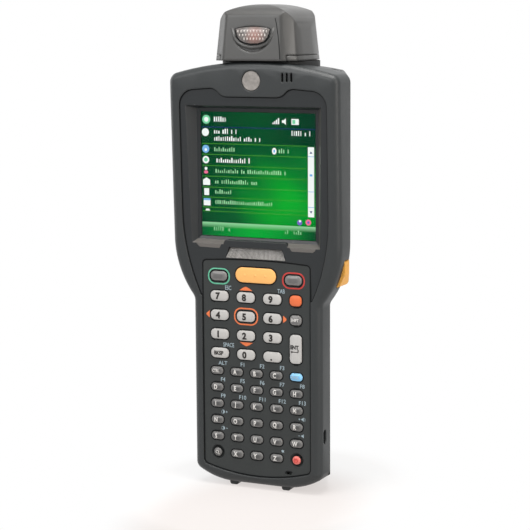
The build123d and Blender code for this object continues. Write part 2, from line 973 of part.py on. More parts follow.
def stylus_top():
    return crown_z(stylus_x, front_y + stylus_depth) - stylus_sink


def port_cavity():
    front = front_y + port_front_depth
    half = port_width / 2
    return block(-half, half, front, front + port_span, body_bottom - 1, body_bottom + port_height)


def connector_block():
    front = front_y + port_front_depth + connector_margin
    back = front + port_span - 2 * connector_margin
    half = port_width / 2 - connector_margin
    low = body_bottom + port_height
    return block(-half, half, front, back, low, low + connector_height)


def seal_area(grow):
    """Head cavity and grip cavity as they meet the joint plane, with a margin round them."""
    head_height = cavity_top_z - cavity_bottom_z + 2 * grow
    head = Rectangle(cavity_width + 2 * grow, head_height)
    grip_height = cavity_bottom_z - grip_cavity_bottom_z + 2 * grow
    grip = Rectangle(2 * (grip_cavity_half + grow), grip_height)
    head_place = Pos(0, (cavity_top_z + cavity_bottom_z) / 2)
    grip_place = Pos(0, (cavity_bottom_z + grip_cavity_bottom_z) / 2)
    return head_place * head + grip_place * grip


def housing_seal():
    """Gasket in the joint plane, round both cavities."""
    ring = seal_area(seal_inset + seal_width) - seal_area(seal_inset)
    return slab(ring, split_y, split_y + seal_depth)


def rear_housing():
    housing = rear_outer() - board_seat()
    housing -= rear_cavities()
    housing -= slab(battery_outline(battery_gap), battery_seat_y, back_y + 1)
    housing -= battery_contacts()
    housing -= latch_pocket()
    housing -= stylus_silo()
    housing -= turret_well()
    housing -= button_pocket()
    housing -= port_cavity()
    housing -= connector_block()
    housing -= housing_seal()
    for x, z in screw_places():
        place = Pos(x, z)
        housing -= slab(place * few_sided(screw_shank_radius + screw_gap), split_y, back_y + 1)
        recess = place * few_sided(screw_head_radius + screw_gap, screw_head_sides)
        housing -= slab(recess, front_y + screw_seat_depth, back_y + 1)
    return housing + foot_rails(split_y, front_y + rail_back_depth)


def rear_cavities():
    """Hollows behind the main board and behind the keypad board."""
    half = rear_cavity_half
    low = cavity_bottom_z + rear_cavity_low_margin
    high = cavity_top_z - rear_cavity_top_margin
    head = block(-half, half, split_y, front_y + rear_cavity_depth, low, high)
    half = grip_cavity_half - grip_cavity_margin
    low = grip_cavity_bottom_z + grip_cavity_margin
    high = grip_cavity_top_z - grip_cavity_margin
    return head + block(-half, half, split_y, front_y + grip_cavity_depth, low, high)


def housing_screws():
    screws = []
    seat = front_y + screw_seat_depth
    for x, z in screw_places():
        place = Pos(x, z)
        shank = slab(place * few_sided(screw_shank_radius), front_y + screw_tip_depth, seat)
        head = place * few_sided(screw_head_radius, screw_head_sides)
        screws.append(shank + slab(head, seat, seat + screw_head_height))
    return screws


def main_board():
    half = board_width / 2
    return block(-half, half, split_y, board_back_y, board_bottom_z, board_bottom_z + board_height)


def wireless_board():
    width, height, thickness = radio_board
    top = board_bottom_z + board_height - radio_drop
    return block(-width / 2, width / 2, board_back_y, board_back_y + thickness, top - height, top)


def scan_switches():
    """Side switches: a body on the pocket's floor and a plunger up to the button."""
    middle_y = front_y + (button_front_depth + button_back_depth) / 2
    body_x = button_floor_x + switch_reach
    section = Pos(middle_y, button_middle_z) * Rectangle(switch_width, switch_height)
    body = extrude(Plane.YZ.offset(button_floor_x) * section, switch_reach)
    plunger_length = button_inner_x - button_travel - mat_play - body_x
    section = Pos(middle_y, button_middle_z) * few_sided(plunger_radius)
    right = body + extrude(Plane.YZ.offset(body_x) * section, plunger_length)
    return [right, mirror(right, Plane.YZ)]


def scan_button():
    """Right button: rounded where the finger rests, drawn in with the shell's side behind."""
    heel_x = button_reach - button_heel_share * button_thickness
    outer = [
        (button_inner_x, button_top_z),
        (button_reach, button_top_z),
        (button_reach, button_middle_z),
        (heel_x, button_bottom_z),
        (button_inner_x, button_bottom_z),
    ]
    shape = make_face(Polyline(outer, close=True))
    resting = [corner_near(shape, x, z) for x, z in outer[1:4]]
    shape = fillet(resting, min(button_corner, button_thickness / 4))
    button = slab(shape, front_y + button_front_depth, front_y + button_back_depth)
    plan = Polyline(
        (0, front_y),
        (button_reach, front_y),
        (button_reach, split_y),
        (button_reach - rear_inset(), back_y),
        (0, back_y),
        close=True,
    )
    return button & upright(make_face(plan), button_bottom_z, button_top_z)


def battery_pack():
    return slab(battery_outline(), battery_seat_y, back_y + 1) & rear_outer()


def battery_latch():
    """Thumb slide above the battery, ribbed across."""
    half = latch_width / 2
    back = back_y - latch_rib_height
    slide = block(-half, half, back_y - latch_thickness, back, latch_bottom, latch_bottom + latch_height)
    pitch = latch_height / (latch_rib_count + 1)
    for k in range(latch_rib_count):
        z = latch_bottom + (k + 1) * pitch
        rib = half - latch_rib_inset
        slide += block(-rib, rib, back, back_y, z - pitch / 4, z + pitch / 4)
    return slide


def latch_spring():
    """Strip spring folded to and fro, pressed between the slide and the housing."""
    low = latch_bottom + latch_height + spring_strip / 2
    rise = (spring_length - spring_strip) / spring_folds
    half = spring_width / 2 - 3 * spring_strip
    bends = [(half if k % 2 else -half, low + k * rise) for k in range(spring_folds + 1)]
    chamber_back = back_y - spring_skin
    return slab(trace(Polyline(bends), spring_strip), chamber_back - spring_breadth, chamber_back)


def stylus():
    """Pen with flats along it, a pointed tip and a groove near its head, kept in its silo."""
    top = stylus_top()
    shoulder = top - stylus_length + stylus_tip
    outline = few_sided(stylus_diameter / 2, stylus_sides)
    pen = upright(outline, shoulder, top)
    pen += extrude(Plane.XY.offset(shoulder) * outline, -stylus_tip, taper=stylus_taper)
    core = few_sided(stylus_diameter / 2 - stylus_neck, stylus_sides)
    groove = top - stylus_head
    pen -= upright(outline - core, groove, groove + 2 * stylus_neck)
    return Pos(stylus_x, front_y + stylus_depth, 0) * pen


# Turret
def turret_plan():
    """Turret from above: flat front and back, canted corners, bowed sides."""
    face = turret_face_half
    front_x, front_y_in = turret_front_shoulder
    rear_x, rear_y_in = turret_rear_shoulder
    front = turret_half_depth
    half = (
        Line((0, -front), (face, -front))
        + Line((face, -front), (front_x, -front_y_in))
        + ThreePointArc((front_x, -front_y_in), (turret_half_width, 0), (rear_x, rear_y_in))
        + Line((rear_x, rear_y_in), (face, front))
        + Line((face, front), (0, front))
    )
    return mirrored_face(half)


def dome_arch():
    """Dome seen from the front: a shallow arc with well rounded shoulders."""
    draft = tan(radians(turret_draft))
    low_z = turret_bottom - 1
    low_x = turret_half_width - dome_skin + draft
    eave_x = turret_half_width - dome_skin - draft * (turret_height - dome_shoulder / 2)
    eave_z = turret_top - dome_radius + sqrt(dome_radius**2 - eave_x**2)
    half = (
        RadiusArc((0, turret_top), (eave_x, eave_z), dome_radius)
        + Line((eave_x, eave_z), (low_x, low_z))
        + Line((low_x, low_z), (0, low_z))
    )
    return round_corners(mirrored_face(half), [(eave_x, eave_z)], dome_shoulder)


def turret_form():
    """Outer form of the turret: drafted walls with narrow creases, under the dome."""
    plan = Plane.XY.offset(turret_bottom) * turret_plan()
    walls = extrude(plan, turret_height, taper=turret_draft)
    creases = [e for e in walls.edges() if abs(e.tangent_at(0.5).Z) > 0.8 and abs((e @ 0.5).X) > 1]
    walls = chamfer(creases, turret_crease)
    side = Pos(0, turret_top - reach / 2) * Rectangle(2 * turret_half_depth, reach)
    corners = [corner_near(side, end * turret_half_depth, turret_top) for end in (1, -1)]
    ridge = across(fillet(corners, dome_edge), reach)
    return walls & slab(dome_arch(), -reach, reach) & ridge


def lamp_outline(margin=0.0, bottom=lamp_bottom):
    """Lamp seen from the front: a shallow arc above, short steep sides and a deeper arc below."""
    half = lamp_width / 2 + margin
    side_in, side_drop = lamp_side
    centre_z = turret_bottom + lamp_above_base
    low_z = centre_z - side_drop - margin
    low_x = half - side_in
    left, right = (-half, centre_z), (half, centre_z)
    low_left, low_right = (-low_x, low_z), (low_x, low_z)
    outline = (
        ThreePointArc(right, (0, centre_z + lamp_top + margin), left)
        + Line(left, low_left)
        + ThreePointArc(low_left, (0, centre_z - bottom), low_right)
        + Line(low_right, right)
    )
    return make_face(outline.edges())


def turret_face_y(z):
    """Depth of the turret's front wall at a height, from the turret's axis."""
    return -turret_half_depth + (z - turret_bottom) * tan(radians(turret_draft))


def scan_window_outline(grow=0.0):
    width, height = scan_window_size
    centre_z = turret_bottom + scan_window_above_base
    return Pos(0, centre_z) * RectangleRounded(width + 2 * grow, height + 2 * grow, scan_window_corner)


def lamp_back_y():
    return turret_face_y(turret_bottom + lamp_above_base) + lamp_recess + lamp_thickness


def window_front_y():
    """Inner face of the scan window, in the turret's rear wall."""
    top = turret_bottom + scan_window_above_base + scan_window_size[1] / 2
    return -turret_face_y(top) - scan_window_thickness


def turret_cavity():
    width, depth, _ = engine_size
    half_x = width / 2 + turret_wall
    front = lamp_back_y()
    top = turret_top - turret_roof
    return block(-half_x, half_x, front, window_front_y(), cover_bottom - 1, top)


def turret_front(gap):
    """The front wall, which reaches down past the seam to the turret's underside."""
    back = turret_front_skin - turret_half_depth + gap
    return block(-reach, reach, -reach, back, turret_bottom - 1, cover_bottom + 1)


def turret_cover():
    """Cover: the dome and the walls, with seats for the lamp and the scan window."""
    form = turret_form()
    cover = form & block(-reach, reach, -reach, reach, cover_bottom, reach + turret_top)
    cover += form & turret_front(0)
    cover -= turret_cavity()
    rim_y = turret_face_y(turret_bottom + lamp_above_base - rim_bottom / 2) + rim_recess
    cover -= slab(lamp_outline(rim_margin, rim_bottom), -reach, rim_y)
    cover -= slab(lamp_outline(), -reach, lamp_back_y() + 1)
    cover -= slab(scan_window_outline(), window_front_y() - 1, reach)
    for x, y in turret_screw_places():
        hole = few_sided(turret_screw_shank)
        cover -= Pos(x, y, 0) * upright(hole, cover_bottom - 1, turret_bottom + turret_screw_length)
    return turret_axis * cover


def turret_screw_places():
    return [(sx * turret_screw_x, sy * turret_screw_y) for sx in (1, -1) for sy in (1, -1)]


def hub_screw_places():
    return [(s * hub_screw_offset, 0) for s in (1, -1)]


def turret_base():
    top = turret_bottom + turret_base_height
    base = turret_form() & block(-reach, reach, -reach, reach, turret_bottom - 1, top)
    base -= turret_front(turret_seam)
    for x, y in turret_screw_places():
        place = Pos(x, y, 0)
        head_top = turret_bottom + turret_screw_head_height
        base -= place * upright(few_sided(turret_screw_head), turret_bottom - 1, head_top)
        base -= place * upright(few_sided(turret_screw_shank), head_top, cover_bottom)
    for x, y in hub_screw_places():
        hole = few_sided(turret_screw_shank)
        base -= Pos(x, y, 0) * upright(hole, turret_bottom - 1, cover_bottom)
    base -= upright(few_sided(hub_bore), turret_bottom - 1, cover_bottom)
    return turret_axis * base


def turret_hub():
    """Hollow hub under the turret, with a flange that holds it below the collar."""
    flange_top = barrel_bottom - fit_gap
    flange_bottom = flange_top - hub_flange_height
    hub = upright(Circle(hub_radius), flange_bottom, turret_bottom)
    hub += upright(few_sided(hub_flange_radius, hub_sides), flange_bottom, flange_top)
    hub -= upright(few_sided(hub_bore), flange_bottom - 1, turret_bottom + 1)
    for x, y in hub_screw_places():
        hole = few_sided(turret_screw_shank)
        hub -= Pos(x, y, 0) * upright(hole, flange_bottom - 1, turret_bottom + 1)
    return turret_axis * hub


def turret_screws():
    screws = []
    head_top = turret_bottom + turret_screw_head_height
    for x, y in turret_screw_places():
        screw = upright(few_sided(turret_screw_head), turret_bottom, head_top)
        screw += upright(few_sided(turret_screw_shank), head_top, turret_bottom + turret_screw_length)
        screws.append(turret_axis * (Pos(x, y, 0) * screw))
    top = turret_bottom + turret_base_height
    seat = barrel_bottom - fit_gap - hub_flange_height
    for x, y in hub_screw_places():
        screw = upright(few_sided(turret_screw_shank), seat, top)
        screw += upright(few_sided(turret_screw_head), seat - turret_screw_head_height, seat)
        screws.append(turret_axis * (Pos(x, y, 0) * screw))
    return screws


def scan_led_lens():
    """Lamp lens, set back a little from the turret's front wall and leaning with it."""
    lens = slab(lamp_outline(), -reach, lamp_back_y())
    behind = across(
        make_face(
            Polyline(
                (turret_face_y(turret_bottom) + lamp_recess, turret_bottom),
                (turret_face_y(turret_top) + lamp_recess, turret_top),
                (reach, turret_top),
                (reach, turret_bottom),
                close=True,
            )
        ),
        reach,
    )
    return turret_axis * (lens & behind)


def scan_window():
    window = slab(scan_window_outline(), window_front_y(), reach) & turret_form()
    return turret_axis * window


def scan_engine():
    width, depth, height = engine_size
    floor = turret_bottom + turret_base_height
    back = window_front_y() - engine_lens_reach - fit_gap
    body = block(-width / 2, width / 2, back - depth, back, floor, floor + height)
    lens = Pos(0, turret_bottom + scan_window_above_base) * Circle(engine_lens_radius)
    return turret_axis * (body + slab(lens, back, back + engine_lens_reach))


def swivel_collar():
    """Fixed collar: a plate on top of the head and a barrel that the hub turns in."""
    collar = upright(collar_plan(), collar_bottom, collar_top)
    barrel = upright(few_sided(collar_barrel_radius, hub_sides), barrel_bottom, collar_bottom)
    bore = upright(Circle(hub_radius + hub_play), barrel_bottom - 1, collar_top + 1)
    return collar + turret_axis * barrel - turret_axis * bore


def parts():
    right_button = scan_button()
    built = {
        "front_housing": front_housing(),
        "rear_housing": rear_housing(),
        "housing_seal": housing_seal(),
        "housing_screws": housing_screws(),
        "display_frame": display_frame(),
        "display_window": display_window(),
        "lcd_panel": lcd_panel(),
        "led_bar": led_bar(),
        "badge_disc": badge_disc(),
        "speaker": speaker(),
        "keypad_panel": keypad_panel(),
        "keypad_mat": keypad_layer(mat_y, mat_back_y),
        "keypad_board": keypad_layer(mat_back_y, keypad_board_back_y),
        "main_board": main_board(),
        "wireless_board": wireless_board(),
        "scan_switches": scan_switches(),
        "left_scan_button": mirror(right_button, Plane.YZ),
        "right_scan_button": right_button,
        "io_connector": connector_block(),
        "battery_pack": battery_pack(),
        "battery_contacts": battery_contacts(),
        "battery_latch": battery_latch(),
        "latch_spring": latch_spring(),
        "stylus": stylus(),
        "swivel_collar": swivel_collar(),
        "turret_hub": turret_hub(),
        "turret_base": turret_base(),
        "turret_cover": turret_cover(),
        "turret_screws": turret_screws(),
        "scan_led_lens": scan_led_lens(),
        "scan_window": scan_window(),
        "scan_engine": scan_engine(),
    }
    built.update(keys())
    return built


def write(name, shape):
    """Writes one node, with a group of separate pieces as one compound."""
    group = shape if isinstance(shape, list) else [shape]
    solids = [solid for piece in group for solid in piece.solids()]
    export_step(Compound(solids) if len(solids) > 1 else solids[0], f"parts/{name}.step")
    print(name, len(solids), "solids", round(sum(s.volume for s in solids)), "mm3")


os.makedirs("parts", exist_ok=True)
for node, shape in parts().items():
    write(node, shape)
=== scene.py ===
import json
import math

import bmesh
import bpy
from mathutils import Matrix, Vector
from mathutils.bvhtree import BVHTree

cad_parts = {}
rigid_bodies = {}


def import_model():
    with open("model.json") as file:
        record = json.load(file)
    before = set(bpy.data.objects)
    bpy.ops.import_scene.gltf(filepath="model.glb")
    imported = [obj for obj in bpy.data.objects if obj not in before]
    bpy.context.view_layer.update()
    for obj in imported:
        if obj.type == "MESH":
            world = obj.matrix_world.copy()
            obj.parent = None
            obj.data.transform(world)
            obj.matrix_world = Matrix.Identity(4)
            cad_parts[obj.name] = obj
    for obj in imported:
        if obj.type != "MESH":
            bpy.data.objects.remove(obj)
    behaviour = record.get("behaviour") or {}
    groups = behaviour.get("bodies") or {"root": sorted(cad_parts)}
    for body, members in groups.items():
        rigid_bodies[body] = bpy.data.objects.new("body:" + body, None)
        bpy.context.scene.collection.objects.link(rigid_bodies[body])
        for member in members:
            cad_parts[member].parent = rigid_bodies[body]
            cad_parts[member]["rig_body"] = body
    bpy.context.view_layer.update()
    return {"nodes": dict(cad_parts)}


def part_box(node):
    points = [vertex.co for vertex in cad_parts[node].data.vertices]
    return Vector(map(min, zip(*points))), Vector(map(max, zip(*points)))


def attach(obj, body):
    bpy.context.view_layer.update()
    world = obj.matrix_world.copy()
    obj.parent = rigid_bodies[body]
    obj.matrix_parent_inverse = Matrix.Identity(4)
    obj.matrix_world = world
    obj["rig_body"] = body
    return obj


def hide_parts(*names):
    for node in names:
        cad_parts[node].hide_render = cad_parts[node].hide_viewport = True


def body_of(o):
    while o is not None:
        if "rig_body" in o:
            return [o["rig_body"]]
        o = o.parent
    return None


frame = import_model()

nodes = frame["nodes"]
scene = bpy.context.scene
mm = 0.001


# 0-255 screen colour to the linear colour that sockets take
def tint(red, green, blue):
    parts = [part / 255 for part in (red, green, blue)]
    return tuple(p / 12.92 if p <= 0.04045 else ((p + 0.055) / 1.055) ** 2.4 for p in parts) + (1.0,)


# camera and lamps

view = {"place": (0.309108, -0.673989, 0.206252), "azimuth": 24.88, "elevation": 8.42, "roll": -0.36,
        "lens": 116.43, "sensor": 36, "near": 0.01}


def makeCamera():
    camera = bpy.data.objects.new("viewCamera", bpy.data.cameras.new("viewCamera"))
    scene.collection.objects.link(camera)
    turn = Matrix.Rotation(math.radians(view["azimuth"]), 4, "Z")
    tip = Matrix.Rotation(math.radians(90 - view["elevation"]), 4, "X")
    roll = Matrix.Rotation(math.radians(view["roll"]), 4, "Z")
    camera.matrix_world = Matrix.Translation(view["place"]) @ turn @ tip @ roll
    camera.data.lens = view["lens"]
    camera.data.sensor_width = view["sensor"]
    camera.data.clip_start = view["near"]
    scene.camera = camera


lamps = {
    # name: place, aim, width, height, watts, tone
    "keyBox": ((-0.45, -0.95, 0.75), (0, 0, 0.12), 0.7, 0.7, 6.4, (1.0, 1.0, 1.0)),
    "rightBox": ((0.82, -0.35, 0.4), (0, 0, 0.12), 0.35, 0.9, 5.0, (1.0, 0.95, 0.89)),
    "topBox": ((0.05, -0.15, 0.95), (0, 0, 0.15), 0.6, 0.5, 9.5, (1.0, 0.98, 0.96)),
    "leftBox": ((-0.9, 0.1, 0.3), (0, 0, 0.12), 0.35, 0.8, 1.6, (1.0, 1.0, 1.0)),
}


def makeLamps():
    for name, (place, aim, width, height, watts, tone) in lamps.items():
        data = bpy.data.lights.new(name, "AREA")
        data.shape = "RECTANGLE"
        data.size, data.size_y = width, height
        data.energy = watts
        data.color = tone
        lamp = bpy.data.objects.new(name, data)
        lamp.location = place
        lamp.rotation_euler = (Vector(aim) - Vector(place)).to_track_quat("-Z", "Y").to_euler()
        scene.collection.objects.link(lamp)


# shader node helpers

def setSocket(tree, socket, value):
    if isinstance(value, bpy.types.NodeSocket):
        tree.links.new(value, socket)
    else:
        socket.default_value = value


def makeNode(tree, kind, inputs=None, **settings):
    node = tree.nodes.new(kind)
    for label, value in settings.items():
        setattr(node, label, value)
    for label, value in (inputs or {}).items():
        setSocket(tree, node.inputs[label], value)
    return node


# each input is a default number or the kind of its socket
def makeGroup(name, inputs, outputs):
    tree = bpy.data.node_groups.new(name, "ShaderNodeTree")
    for label, value in inputs.items():
        kind = value if isinstance(value, str) else "Float"
        socket = tree.interface.new_socket(label, in_out="INPUT", socket_type="NodeSocket" + kind)
        if kind == "Float":
            socket.default_value = value
    for label, kind in outputs.items():
        tree.interface.new_socket(label, in_out="OUTPUT", socket_type="NodeSocket" + kind)
    return tree, tree.nodes.new("NodeGroupInput").outputs, tree.nodes.new("NodeGroupOutput").inputs


def placeGroup(tree, group, **inputs):
    return makeNode(tree, "ShaderNodeGroup", inputs, node_tree=group).outputs


def calc(tree, operation, a, b, clamp=False):
    return makeNode(tree, "ShaderNodeMath", {0: a, 1: b}, operation=operation, use_clamp=clamp).outputs[0]


def blendColours(tree, factor, a, b):
    return makeNode(tree, "ShaderNodeMix", {0: factor, 6: a, 7: b}, data_type="RGBA").outputs[2]


def noise(tree, place, scale, detail, roughness=0.5, distortion=0.0):
    return makeNode(tree, "ShaderNodeTexNoise", {"Vector": place, "Scale": scale, "Detail": detail,
                    "Roughness": roughness, "Distortion": distortion}).outputs[0]


def mapSpan(tree, value, fromMin, fromMax, toMin=0.0, toMax=1.0, **settings):
    return makeNode(tree, "ShaderNodeMapRange", {"Value": value, "From Min": fromMin, "From Max": fromMax,
                    "To Min": toMin, "To Max": toMax}, **settings).outputs[0]


# how far a noise swings to each side of nothing
def swing(tree, value, amount):
    return calc(tree, "MULTIPLY", calc(tree, "SUBTRACT", value, 0.5), amount)


# spark-eroded mould grain: Pitch is cells per metre
def makeMouldGrain():
    tree, entry, leave = makeGroup("mouldGrain", {"Place": "Vector", "Pitch": 3000.0, "Depth": 1.0},
                                   {"Height": "Float", "Speck": "Float"})
    noiseShare = 0.6
    fine = noise(tree, entry["Place"], entry["Pitch"], detail=3.0, roughness=0.6)
    cells = makeNode(tree, "ShaderNodeTexVoronoi", {"Vector": entry["Place"], "Scale": entry["Pitch"]},
                     feature="SMOOTH_F1").outputs["Distance"]
    mixed = calc(tree, "ADD", calc(tree, "MULTIPLY", fine, noiseShare),
                 calc(tree, "MULTIPLY", cells, 1 - noiseShare))
    tree.links.new(calc(tree, "MULTIPLY", mixed, entry["Depth"]), leave["Height"])
    tree.links.new(fine, leave["Speck"])
    return tree


# slow drift of tone, with fine specks over it
def makeTonedColour():
    tree, entry, leave = makeGroup(
        "tonedColour",
        {"Place": "Vector", "Colour": "Color", "Drift": 0.1, "Patch": 40.0, "Speck": 0.5, "Specks": 0.1},
        {"Colour": "Color"})
    wide = swing(tree, noise(tree, entry["Place"], entry["Patch"], detail=4.0, roughness=0.55), entry["Drift"])
    close = swing(tree, entry["Speck"], entry["Specks"])
    gain = calc(tree, "ADD", calc(tree, "ADD", wide, close), 1.0)
    scaled = makeNode(tree, "ShaderNodeVectorMath", operation="SCALE")
    tree.links.new(entry["Colour"], scaled.inputs[0])
    tree.links.new(gain, scaled.inputs["Scale"])
    tree.links.new(scaled.outputs[0], leave["Colour"])
    return tree


# edges rubbed by hands and pockets, their paler worn colour also a painted highlight along the edges, and the
# small radius that every moulded edge has
def makeEdgeWearAndSheen():
    tree, entry, leave = makeGroup(
        "edgeWearAndSheen", {"Place": "Vector", "Rounding": 0.0004, "Wear": 0.0003, "Amount": 0.5},
        {"Mask": "Float", "Normal": "Vector"})
    rounded = makeNode(tree, "ShaderNodeBevel", {"Radius": entry["Rounding"]}, samples=6)
    close = makeNode(tree, "ShaderNodeBevel", {"Radius": entry["Wear"]}, samples=4)
    flat = makeNode(tree, "ShaderNodeNewGeometry")
    turn = makeNode(tree, "ShaderNodeVectorMath", {0: close.outputs[0], 1: flat.outputs["Normal"]},
                    operation="DOT_PRODUCT")
    edge = mapSpan(tree, turn.outputs["Value"], fromMin=0.99, fromMax=0.75)
    patchy = noise(tree, entry["Place"], scale=420.0, detail=5.0, roughness=0.7)
    broken = mapSpan(tree, patchy, fromMin=0.4, fromMax=0.62, toMin=0.15)
    mask = calc(tree, "MULTIPLY", calc(tree, "MULTIPLY", edge, broken), entry["Amount"], clamp=True)
    tree.links.new(mask, leave["Mask"])
    tree.links.new(rounded.outputs[0], leave["Normal"])
    return tree


# gloss that drifts where hands have polished or greased the surface
def makeRoughDrift():
    tree, entry, leave = makeGroup("roughDrift", {"Place": "Vector", "Level": 0.5, "Spread": 0.1, "Worn": 0.0},
                                   {"Roughness": "Float"})
    slow = noise(tree, entry["Place"], scale=90.0, detail=6.0, roughness=0.65, distortion=0.6)
    drift = swing(tree, slow, entry["Spread"])
    wornChange = -0.15
    polished = calc(tree, "MULTIPLY", entry["Worn"], wornChange)
    total = calc(tree, "ADD", calc(tree, "ADD", entry["Level"], drift), polished, clamp=True)
    tree.links.new(total, leave["Roughness"])
    return tree


mouldGrain = makeMouldGrain()
tonedColour = makeTonedColour()
edgeWearAndSheen = makeEdgeWearAndSheen()
roughDrift = makeRoughDrift()
materials = {}


def startMaterial(name):
    material = bpy.data.materials.new(name)
    material.use_nodes = True
    materials[name] = material
    return material.node_tree, makeNode(material.node_tree, "ShaderNodeTexCoord").outputs["Object"]


def closeMaterial(tree, sockets):
    for label, value in sockets.items():
        setSocket(tree, tree.nodes["Principled BSDF"].inputs[label], value)


def gloss(tree, place, level, spread, worn=0.0):
    return placeGroup(tree, roughDrift, Place=place, Level=level, Spread=spread, Worn=worn)["Roughness"]


finishes = {
    # colour, worn colour (paler at edges: wear and a painted edge highlight), gloss, grain in cells per metre,
    # grain depth in micrometres, what differs from usual
    "housingPlastic": ((40, 43, 44), (84, 84, 82), 0.4, 2600, 30, {"rounding": 0.0009, "shine": 0.36}),
    "framePlastic": ((30, 33, 35), (88, 86, 84), 0.36, 3200, 20, {"rounding": 0.0007, "shine": 0.34}),
    "panelPlastic": ((43, 46, 46), (74, 75, 74), 0.56, 1900, 60, {"specks": 0.5}),
    "turretPlastic": ((57, 57, 56), (104, 102, 98), 0.31, 2800, 20, {"rounding": 0.0014, "shine": 0.46}),
    # the next two are painted sheen: paler colours for the surround's slopes that catch the light
    "padPaintedSheen": ((92, 89, 86), (140, 137, 133), 0.4, 3200, 20, {}),
    "bevelPaintedSheen": ((66, 65, 63), (104, 102, 100), 0.38, 3200, 20, {}),
    "wellShadow": ((20, 22, 23), (34, 36, 37), 0.7, 2400, 20, {"shine": 0.1}),
    "lipDark": ((30, 33, 35), (60, 62, 62), 0.25, 3200, 10, {}),
    "collarRubber": ((36, 37, 38), (70, 70, 70), 0.6, 2200, 30, {}),
    "batteryPlastic": ((46, 48, 50), (92, 92, 90), 0.55, 2400, 40, {}),
    "buttonRubber": ((216, 158, 70), (232, 186, 112), 0.5, 2600, 30, {"rounding": 0.0008}),
    "latchPlastic": ((50, 52, 54), (88, 88, 86), 0.45, 3000, 20, {}),
    "stylusPlastic": ((40, 41, 43), (80, 80, 80), 0.35, 3600, 10, {}),
    "siliconeMat": ((196, 194, 188), (210, 208, 204), 0.65, 2400, 20, {}),
    "sealRubber": ((40, 40, 42), (60, 60, 60), 0.7, 2400, 20, {}),
    "boardLacquer": ((28, 84, 52), (60, 120, 84), 0.35, 1600, 30, {}),
    "castMetal": ((120, 122, 124), (170, 170, 170), 0.42, 2600, 30, {"metal": 1.0, "shine": 0.5}),
    "screwSteel": ((150, 150, 150), (200, 200, 198), 0.3, 5200, 10, {"metal": 1.0, "shine": 0.5}),
    "contactGold": ((214, 174, 92), (236, 212, 150), 0.24, 5200, 5, {"metal": 1.0, "shine": 0.5}),
    "connectorPlastic": ((34, 34, 36), (60, 60, 60), 0.5, 3200, 10, {}),
    "lightBarPlastic": ((140, 138, 135), (192, 190, 187), 0.28, 3000, 20, {"coat": 0.5}),
    "barCore": ((64, 62, 60), (130, 126, 122), 0.4, 3000, 20, {}),
    "numberKey": ((170, 169, 167), (196, 193, 189), 0.48, 2600, 20, {"specks": 0.16}),
    "scanKey": ((228, 170, 100), (244, 196, 134), 0.5, 2600, 20, {"specks": 0.12}),
    "orangeKey": ((206, 102, 60), (228, 136, 98), 0.48, 2600, 20, {}),
    "legendInk": ((34, 31, 29), (64, 60, 56), 0.5, 4000, 10, {}),
    "whiteInk": ((202, 200, 197), (210, 208, 204), 0.5, 4000, 10, {}),
    "paleBlueInk": ((146, 162, 170), (138, 152, 160), 0.5, 4000, 10, {}),
    "orangeInk": ((214, 112, 66), (210, 110, 70), 0.5, 4000, 10, {}),
    "greenInk": ((90, 168, 138), (80, 160, 130), 0.5, 4000, 10, {}),
    "redInk": ((178, 54, 49), (190, 60, 56), 0.5, 4000, 10, {}),
    "blackMask": ((10, 11, 12), (16, 16, 16), 0.35, 4000, 4, {}),
}
usual = {"rounding": 0.0003, "rubbedAndSheen": 0.55, "drift": 0.22, "specks": 0.25, "spread": 0.16, "metal": 0.0,
         "shine": 0.28, "coat": 0.0, "coatGloss": 0.12}


def makeFinish(name, colour, worn, level, pitch, depth, changes):
    values = usual | changes
    tree, place = startMaterial(name)
    grain = placeGroup(tree, mouldGrain, Place=place, Pitch=float(pitch), Depth=1.0)
    edges = placeGroup(tree, edgeWearAndSheen, Place=place, Rounding=values["rounding"], Amount=values["rubbedAndSheen"])
    toned = placeGroup(tree, tonedColour, Place=place, Colour=tint(*colour), Drift=values["drift"],
                       Speck=grain["Speck"], Specks=values["specks"])
    bump = makeNode(tree, "ShaderNodeBump", {"Height": grain["Height"], "Distance": depth * 0.000001,
                    "Strength": 1.0, "Normal": edges["Normal"]})
    closeMaterial(tree, {
        "Base Color": blendColours(tree, edges["Mask"], toned["Colour"], tint(*worn)),
        "Roughness": gloss(tree, place, level, values["spread"], edges["Mask"]),
        "Normal": bump.outputs[0], "Metallic": values["metal"], "Specular IOR Level": values["shine"],
        "Coat Weight": values["coat"], "Coat Roughness": values["coatGloss"]})


for finishName, finishValues in finishes.items():
    makeFinish(finishName, *finishValues)
print("finishes:", len(materials))

# keys of tinted clear plastic: middle, and the rim with painted light, paler where light comes round from the
# sides
clearKeys = {
    "smallKey": ((67, 67, 67), (116, 115, 114)),
    "greyKey": ((88, 87, 87), (128, 127, 126)),
    "blueKey": ((98, 168, 214), (140, 192, 226)),
    "powerKey": ((204, 84, 76), (220, 124, 114)),
}


def makeClearKey(name, middleColour, rimLitColour):
    tree, place = startMaterial(name)
    # the rim attribute carries painted light: how much paler the key is painted where light comes round its
    # sides
    rim = makeNode(tree, "ShaderNodeAttribute", attribute_name="rim").outputs["Fac"]
    grain = placeGroup(tree, mouldGrain, Place=place, Pitch=3200.0, Depth=1.0)
    body = blendColours(tree, rim, tint(*middleColour), tint(*rimLitColour))
    toned = placeGroup(tree, tonedColour, Place=place, Colour=body, Drift=0.3, Patch=240.0,
                       Speck=grain["Speck"], Specks=0.2)
    bump = makeNode(tree, "ShaderNodeBump", {"Height": grain["Height"], "Distance": 0.00001, "Strength": 1.0})
    closeMaterial(tree, {"Base Color": toned["Colour"], "Roughness": gloss(tree, place, level=0.36, spread=0.2),
                  "Normal": bump.outputs[0], "Specular IOR Level": 0.3,
                  "Coat Weight": 0.3, "Coat Roughness": 0.18})


for finishName, finishValues in clearKeys.items():
    makeClearKey(finishName, *finishValues)


badge = {"colour": (134, 130, 126), "height": 177.4 * mm, "pitch": 900.0}


